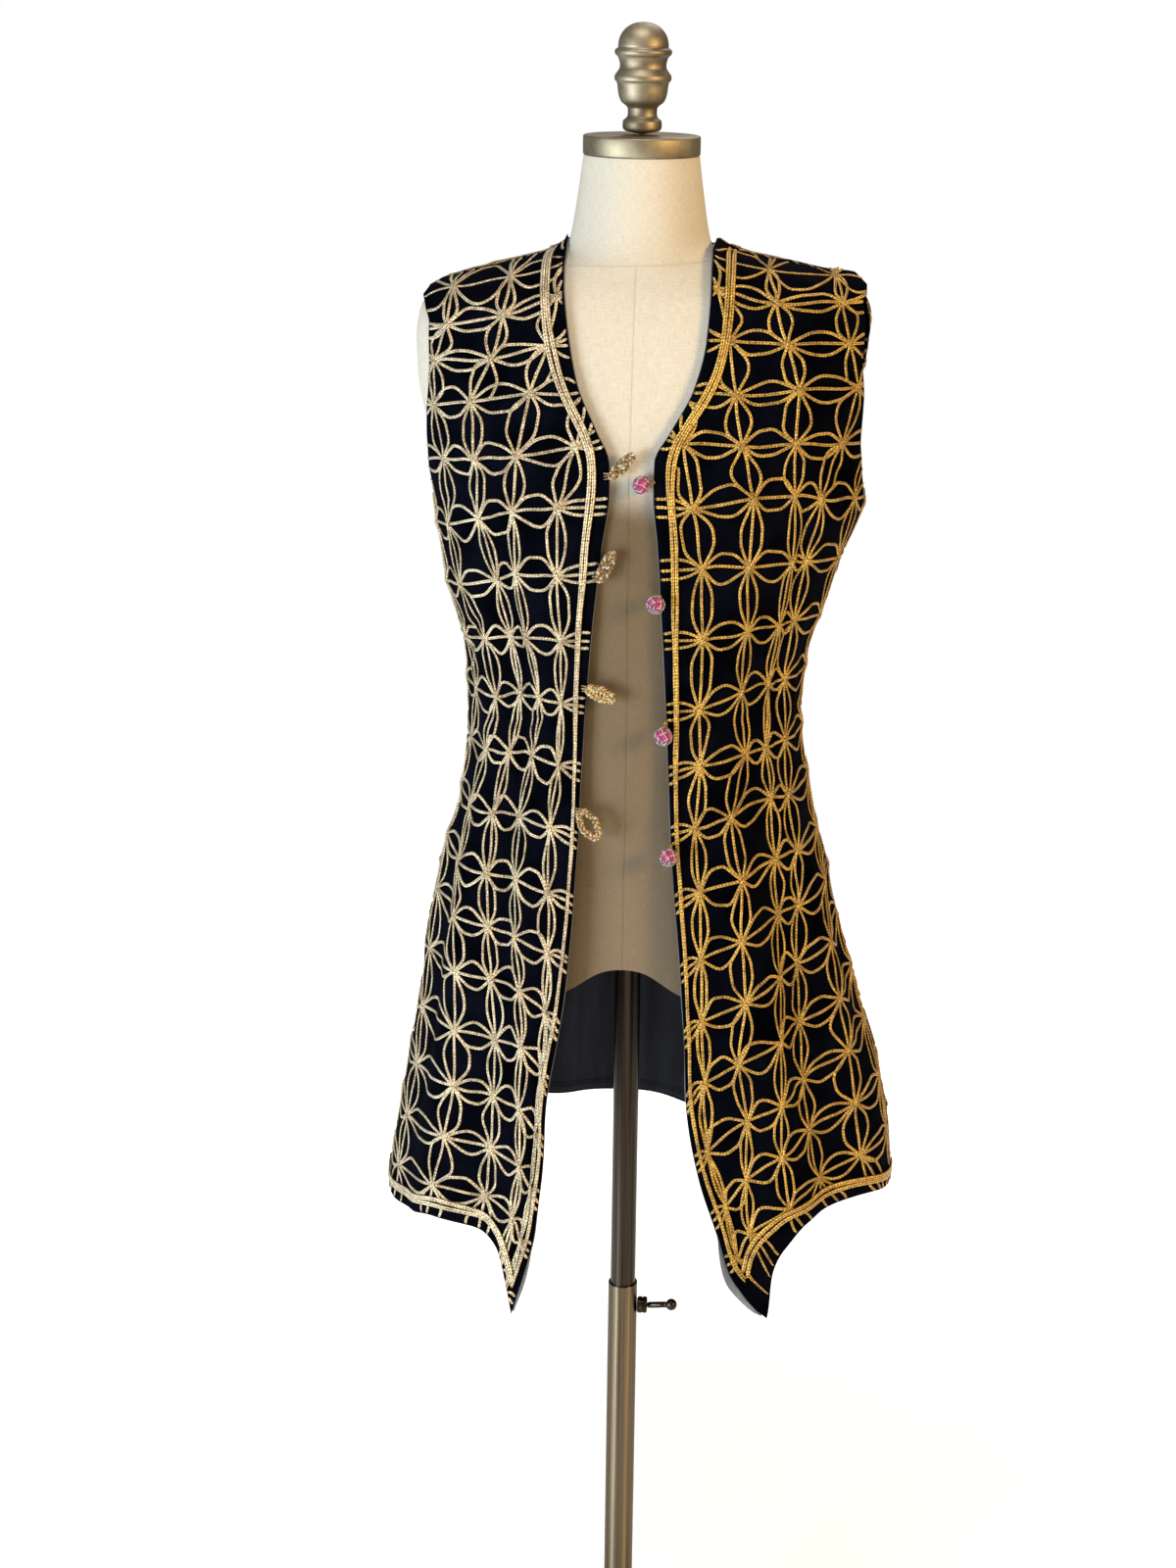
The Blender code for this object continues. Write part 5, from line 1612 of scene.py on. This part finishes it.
def shankPaths(matrix, shank):
    coreRadius = buttons["radius"] * buttons["coreShare"]
    paths = []
    for k in range(3):
        steps = np.linspace(0.0, 1.0, 26)
        turnBy = steps * 7.0 + k * 2 * math.pi / 3
        reach = coreRadius + steps * (shank - coreRadius + 0.0012)
        local = np.stack([0.0011 * np.cos(turnBy), 0.0011 * np.sin(turnBy), reach], -1)
        outward = np.stack([np.cos(turnBy), np.sin(turnBy), 0 * turnBy], -1)
        paths.append((moved(matrix, local), moved(matrix.to_3x3(), outward), 0.0018, 0.0016))
    around = np.linspace(0, 2 * math.pi, 30)
    for lat in buttons["rings"]:
        radius = buttons["radius"] * buttons["ringShare"]
        line, normals = lineOnBall(matrix, radius, math.radians(lat), around)
        paths.append((line, normals, 0.0015, 0.0012))
    return paths


def makeButtons(core, net, darkNet, cord):
    for number, (height, across, forward, drop, shank) in enumerate(buttons["rows"], start=1):
        toBall = Vector((-across, -forward, -drop))
        turn = (-toBall).to_track_quat("Z", "Y").to_matrix().to_4x4()
        place = Matrix.Translation(edgePoint("left", height) + toBall)
        matrix = place @ turn @ Matrix.Rotation(0.6 * number, 4, "Z")
        coreRadius = buttons["radius"] * buttons["coreShare"]
        ball = ballMesh("ball_%d" % number, coreRadius, matrix, core, buttons["lumps"])
        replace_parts(ball, "button_%d" % number)
        for kind, thread in (("pale", net), ("dark", darkNet)):
            cordsMesh("net_%d_%s" % (number, kind), netPaths(matrix, kind), thread, "figure")
        cordsMesh("shank_%d" % number, shankPaths(matrix, shank), cord, "figure")


# The dress form.
form = {
    "top": 1.5650,
    "arch": 0.0900,
    "edge": 0.8430,
    "haunch": 0.0090,  # how soon the arch falls away from its middle
    "board": 0.8300,
    "flat": 0.0300,
    "neckSeam": 1.4750,
    "seamLean": 0.035,  # the neck seam climbs toward the wearer's left
    "seams": (0.0, math.pi, math.pi / 2, 3 * math.pi / 2),  # they run down from the neck seam
    "sides": 140,
    "depth": 0.0004,
    "breadth": 0.0007,
    "seamShade": 0.42,
    "nearSeam": (-0.018, -0.009, -0.004, 0.0, 0.004, 0.009, 0.018),  # finer points beside each seam
    "finerFrom": 0.006,
    "clothTurn": 0.13,  # the weave's length across for each radian
}


def makeForm(finish):
    base = list(np.linspace(0, 2 * math.pi, form["sides"], endpoint=False))
    for line in form["seams"]:
        base += [(line + away) % (2 * math.pi) for away in form["nearSeam"]]
    angles = np.unique(np.round(base, 4))
    heights = list(np.linspace(form["top"], 0.90, 110))
    finer = form["finerFrom"]
    heights += list(np.arange(form["neckSeam"] - finer, form["neckSeam"] + finer, 0.0005))
    heights = sorted(set(np.round(heights, 5)), reverse=True)
    rings = []
    rises = [np.full(len(angles), height) for height in heights]
    edge = form["edge"] - form["arch"] * np.sin(angles) ** 2
    edge = edge - form["haunch"] * (1 - np.exp(-((np.sin(angles) / 0.30) ** 4)))
    for share in np.linspace(0, 1, 16)[1:]:
        rises.append(heights[-1] + share * (edge - heights[-1]))
    for rise in rises:
        radius = ringRadius(formRing(rise), angles)
        seamHeight = form["neckSeam"] - form["seamLean"] * radius * np.sin(angles)
        groove = np.zeros(len(angles))
        for line in form["seams"]:
            away = np.abs((angles - line + math.pi) % (2 * math.pi) - math.pi) * radius
            below = rise < seamHeight + 0.001
            groove = np.maximum(groove, below * np.exp(-((away / form["breadth"]) ** 2)))
        groove = np.maximum(groove, np.exp(-(((rise - seamHeight) / form["breadth"]) ** 2)))
        radius = radius - form["depth"] * groove
        rings.append((np.stack([-radius * np.sin(angles), -radius * np.cos(angles), rise], -1), groove))
    last = rings[-1][0]
    away = last[:, :2] / np.linalg.norm(last[:, :2], axis=1, keepdims=True)
    inner = np.concatenate([away * form["flat"], np.full((len(angles), 1), form["board"])], axis=1)
    for share in (0.02, 0.05, 0.12, 0.30, 0.55, 0.80, 1.0):
        rings.append((last + (inner - last) * share, np.zeros(len(angles))))
    count = len(angles)
    faces = [tuple(range(count))]
    for j in range(len(rings) - 1):
        for i in range(count):
            nxt = (i + 1) % count
            faces.append((j * count + i, (j + 1) * count + i, (j + 1) * count + nxt, j * count + nxt))
    faces.append(tuple((len(rings) - 1) * count + i for i in range(count))[::-1])
    points = np.concatenate([ring for ring, _ in rings])
    piece = newPiece("linen_form", points, faces, finish, "figure")
    seam = piece.data.attributes.new("seam", "FLOAT", "POINT")
    seam.data.foreach_set("value", np.concatenate([groove for _, groove in rings]) * form["seamShade"])
    layer = piece.data.uv_layers.new(name="UVMap")
    vertexOf = np.empty(len(piece.data.loops), int)
    piece.data.loops.foreach_get("vertex_index", vertexOf)
    u = np.tile(angles * form["clothTurn"], len(rings))
    v = points[:, 2]
    layer.data.foreach_set("uv", np.stack([u[vertexOf], v[vertexOf]], -1).ravel())
    fixNormals(piece)
    piece.data.set_sharp_from_angle(angle=math.radians(50))
    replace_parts(piece, "dress_form")


# Turned pieces.

# Places along a smooth curve through the points, but for its last.
def curvePlaces(points, count):
    padded = [points[0] * 2 - points[1]] + points + [points[-1] * 2 - points[-2]]
    places = []
    for a, b, c, d in zip(padded, padded[1:], padded[2:], padded[3:]):
        square, cube = 2 * a - 5 * b + 4 * c - d, 3 * b - a - 3 * c + d
        for k in range(count):
            t = k / count
            places.append(0.5 * (2 * b + (c - a) * t + square * t**2 + cube * t**3))
    return places


# A smooth outline through the points of a profile.
def curved(profile, count):
    points = [Vector((r, 0.0, z)) for r, z in profile]
    outline = [(max(point.x, 0.0), point.z) for point in curvePlaces(points, count)]
    return outline + [profile[-1]]


def turnedPiece(name, profile, finish, body, matrix=None, sides=96, closed=False, sharp=35.0):
    angles = np.linspace(0, 2 * math.pi, sides, endpoint=False)
    rows = np.array([[(r * math.cos(a), r * math.sin(a), z) for a in angles] for r, z in profile])
    count = len(profile)
    faces = []
    for j in range(count if closed else count - 1):
        nxt = (j + 1) % count
        for i in range(sides):
            k = (i + 1) % sides
            faces.append((j * sides + i, nxt * sides + i, nxt * sides + k, j * sides + k))
    points = rows.reshape(-1, 3)
    if matrix is not None:
        points = [matrix @ Vector(p) for p in points]
    piece = newPiece(name, points, faces, finish, body)
    mergePoints(piece, 0.000004)
    piece.data.set_sharp_from_angle(angle=math.radians(sharp))
    return piece


finialProfile = (
    (0.0, 0.0974), (0.0085, 0.0961), (0.0160, 0.0915), (0.0206, 0.0850), (0.0222, 0.0780),
    (0.0222, 0.0755), (0.0249, 0.0732), (0.0249, 0.0700), (0.0222, 0.0668), (0.0206, 0.0620),
    (0.0208, 0.0575), (0.0230, 0.0540), (0.0249, 0.0512), (0.0249, 0.0476), (0.0228, 0.0444),
    (0.0214, 0.0350), (0.0190, 0.0288), (0.0150, 0.0254), (0.0131, 0.0228), (0.0131, 0.0166),
    (0.0150, 0.0140), (0.0171, 0.0118), (0.0171, 0.0056), (0.0150, 0.0034), (0.0150, 0.0), (0.0, 0.0),
)
baseProfile = (
    (0.022, 0.048), (0.0244, 0.0474), (0.0256, 0.0462), (0.026, 0.044), (0.0272, 0.030), (0.029, 0.022),
    (0.034, 0.0192), (0.050, 0.018), (0.110, 0.0158), (0.152, 0.013), (0.157, 0.0118), (0.1592, 0.0096),
    (0.16, 0.007), (0.16, 0.0018), (0.1585, 0.0), (0.0, 0.0),
)
stand = {
    "capRadius": 0.0520,
    "capHeight": 0.0170,
    "mastRadius": 0.0122,
    "mastFoot": 0.2300,
    "tubeRadius": 0.0142,
    "tubeBore": 0.0126,
    "tubeTop": 0.4680,
    "tubeFoot": 0.0063,
    "clampHeight": 0.4430,
}


def makeNeckPieces(brass):
    foot = form["top"] + cloth["gap"]
    top = foot + stand["capHeight"]
    r = stand["capRadius"]
    cap = [
        (0.0, top), (r - 0.0016, top), (r - 0.0008, top - 0.0002), (r - 0.0002, top - 0.0008),
        (r, top - 0.0016), (r, foot + 0.0014), (r - 0.0004, foot + 0.0006), (r - 0.0012, foot), (0.0, foot),
    ]
    piece = turnedPiece("brass_cap", cap, brass, "figure", sides=128, sharp=60)
    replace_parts(piece, "neck_cap")
    base = top + cloth["gap"]
    outline = [(r, base + z) for r, z in curved(finialProfile[:-2], 5)] + [(0.0, base)]
    piece = turnedPiece("brass_finial", outline, brass, "figure", sides=96, sharp=60)
    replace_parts(piece, "finial")


def makeStand(steel, brass, plate):
    top = form["board"] - cloth["gap"]
    r, foot = stand["mastRadius"], stand["mastFoot"]
    mast = [(0.0, top), (r - 0.0004, top), (r, top - 0.0004), (r, foot), (0.0, foot)]
    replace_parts(turnedPiece("steel_mast", mast, steel, "mast_tube", sides=72), "mast")
    r, bore, lip, foot = stand["tubeRadius"], stand["tubeBore"], stand["tubeTop"], stand["tubeFoot"]
    tube = [
        (bore, lip), (bore + 0.0003, lip), (r - 0.0004, lip), (r, lip - 0.0004),
        (r, foot), (0.0, foot), (0.0, foot + 0.003), (bore, foot + 0.003),
    ]
    piece = turnedPiece("brass_tube", tube, brass, "stand", sides=72, closed=True)
    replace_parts(piece, "lower_tube")
    pocket = stand["tubeRadius"] + cloth["gap"]
    base = [(pocket, 0.048), *baseProfile, (0.0, 0.006), (pocket, 0.006)]
    piece = turnedPiece("brass_base", base, plate, "stand", sides=128, closed=True)
    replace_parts(piece, "base")


clampSet = {
    "hub": (
        (0.0, 0.010), (0.0062, 0.010), (0.0075, 0.0094), (0.008, 0.0086), (0.008, 0.0062), (0.0074, 0.0056),
        (0.0074, 0.0050), (0.008, 0.0044), (0.008, 0.0014), (0.0072, 0.0004), (0.0062, 0.0), (0.0, 0.0),
    ),
    "bar": (0.0062, 0.0060),
    "ball": (0.034, -0.012, 0.008),  # its place from the hub's foot
    "ballRadius": 0.0056,
}


def makeClamp(steel):
    alongX = Matrix.Rotation(math.pi / 2, 4, "Y")
    start, height = stand["tubeRadius"] + cloth["gap"], stand["clampHeight"]
    at = Matrix.Translation((start, 0.0, height)) @ alongX
    hub = turnedPiece("lever_hub", clampSet["hub"], steel, "clamp", at, sides=64)
    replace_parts(hub, "clamp_hub")
    forward, aside, rise = clampSet["ball"]
    ball = Vector((start + forward, aside, height + rise))
    hubEnd = Vector((start + 0.010 + 3 * cloth["gap"], 0.0, height))
    middle = hubEnd.lerp(ball, 0.5) + Vector((0.002, 0.002, -0.001))
    barEnd = ball + (middle - ball).normalized() * 0.0052
    route = [hubEnd + Vector((-0.0008, 0, 0)), hubEnd + Vector((0.0026, 0.0, 0.0)), middle, barEnd]
    line = np.array([tuple(p) for p in curvePlaces(route, 10) + [barEnd]])
    normals = np.tile(np.array([0.0, 0.3, 1.0]), (len(line), 1))
    paths = [(line, normals, *clampSet["bar"])]
    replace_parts(cordsMesh("lever_bar", paths, steel, "clamp", sides=20), "clamp_bar")
    radius = clampSet["ballRadius"]
    turns = [math.pi * k / 24 for k in range(25)]
    sphere = [(radius * math.sin(turn), radius * math.cos(turn)) for turn in turns]
    sphere[0], sphere[-1] = (0.0, radius), (0.0, -radius)
    where = Matrix.Translation(ball)
    piece = turnedPiece("lever_ball", sphere, steel, "clamp", where, sides=40, sharp=60)
    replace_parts(piece, "clamp_ball")


def makeVest():
    velvet = velvetFinish()
    navyLining = liningFinish("navyLining", (0.0032, 0.0042, 0.0078), (0.0125, 0.0155, 0.0255))
    greyLining = liningFinish("greyLining", (0.072, 0.077, 0.086), (0.145, 0.151, 0.164))
    # One braid on every panel: the right front's copy is painted paler and cooler for the cool window light
    # on that side, the left front's deeper and warmer for the lamp, and the back's lies between them.
    braids = {
        "right": braidFinish("goldBraidPaintedCoolLight", (0.035, 0.020, 0.008), (0.70, 0.520, 0.285), (1.0, 0.94, 0.72)),
        "left": braidFinish("goldBraidPaintedWarmLight", (0.035, 0.016, 0.003), (0.53, 0.285, 0.044), (1.0, 0.68, 0.14)),
        "back": braidFinish("backGoldBraid", (0.035, 0.018, 0.005), (0.48, 0.300, 0.095), (1.0, 0.76, 0.34)),
    }
    panels = {name: makePanel(name, *panelGrids[name]) for name in ("right", "left", "back")}
    for name, panel in panels.items():
        node = "back" if name == "back" else name + "_front"
        shell = velvetPanel(panel, velvet, node)
        lining = navyLining if name == "back" else greyLining
        inside, more = liningPanel(panel, lining, node + "_lining", velvet)
        nodes = backNodes() if name == "back" else frontNodes(name)
        braid = braids[name]
        couched = latticePiece(panel, nodes, braid, "lattice_" + name)
        if name == "back":
            trims = [hemTrim(panel, braid, "back_hem_trim", "back_hem_band"), neckTrim(braid)]
        else:
            trims = [frontTrim(panel, braid, name)]
            trims.append(hemTrim(panel, braid, name + "_hem_trim", name + "_hem_band"))
        print("panel", name)
    loopCord = braidFinish("loopCord", (0.020, 0.010, 0.003), (0.44, 0.260, 0.070), (1.0, 0.72, 0.30), 600.0)
    brownCord = threadFinish("brownCord", (0.030, 0.017, 0.007), (0.160, 0.092, 0.036))
    silverCord = threadFinish("silverCord", (0.090, 0.066, 0.038), (0.46, 0.38, 0.25))
    makeLoops(((loopCord, brownCord, silverCord), (loopCord, silverCord, loopCord)))
    pink = threadFinish("pinkThread", (0.20, 0.005, 0.045), (0.56, 0.018, 0.14))
    pale = threadFinish("paleThread", (0.16, 0.16, 0.18), (0.44, 0.42, 0.40))
    slate = threadFinish("slateThread", (0.006, 0.008, 0.022), (0.035, 0.040, 0.080))
    makeButtons(pink, pale, slate, loopCord)


makeCamera()
makeLights()
makeFloor()
brass = brassFinish("antiqueBrass", (0.150, 0.120, 0.076), (0.275, 0.238, 0.165), 0.46, 0.62)
lowerBrass = tubeFinish("brassTube", (0.075, 0.056, 0.036), (0.190, 0.150, 0.102), 0.34, 0.44, 0.95)
steel = tubeFinish("darkTube", (0.018, 0.013, 0.010), (0.060, 0.048, 0.038), 0.28, 0.40, 0.85)
leverSteel = tubeFinish("leverSteel", (0.018, 0.013, 0.010), (0.056, 0.045, 0.036), 0.20, 0.36)
makeNeckPieces(brass)
makeForm(linenFinish())
makeStand(steel, lowerBrass, brass)
makeClamp(leverSteel)
print("stand and form")
makeVest()
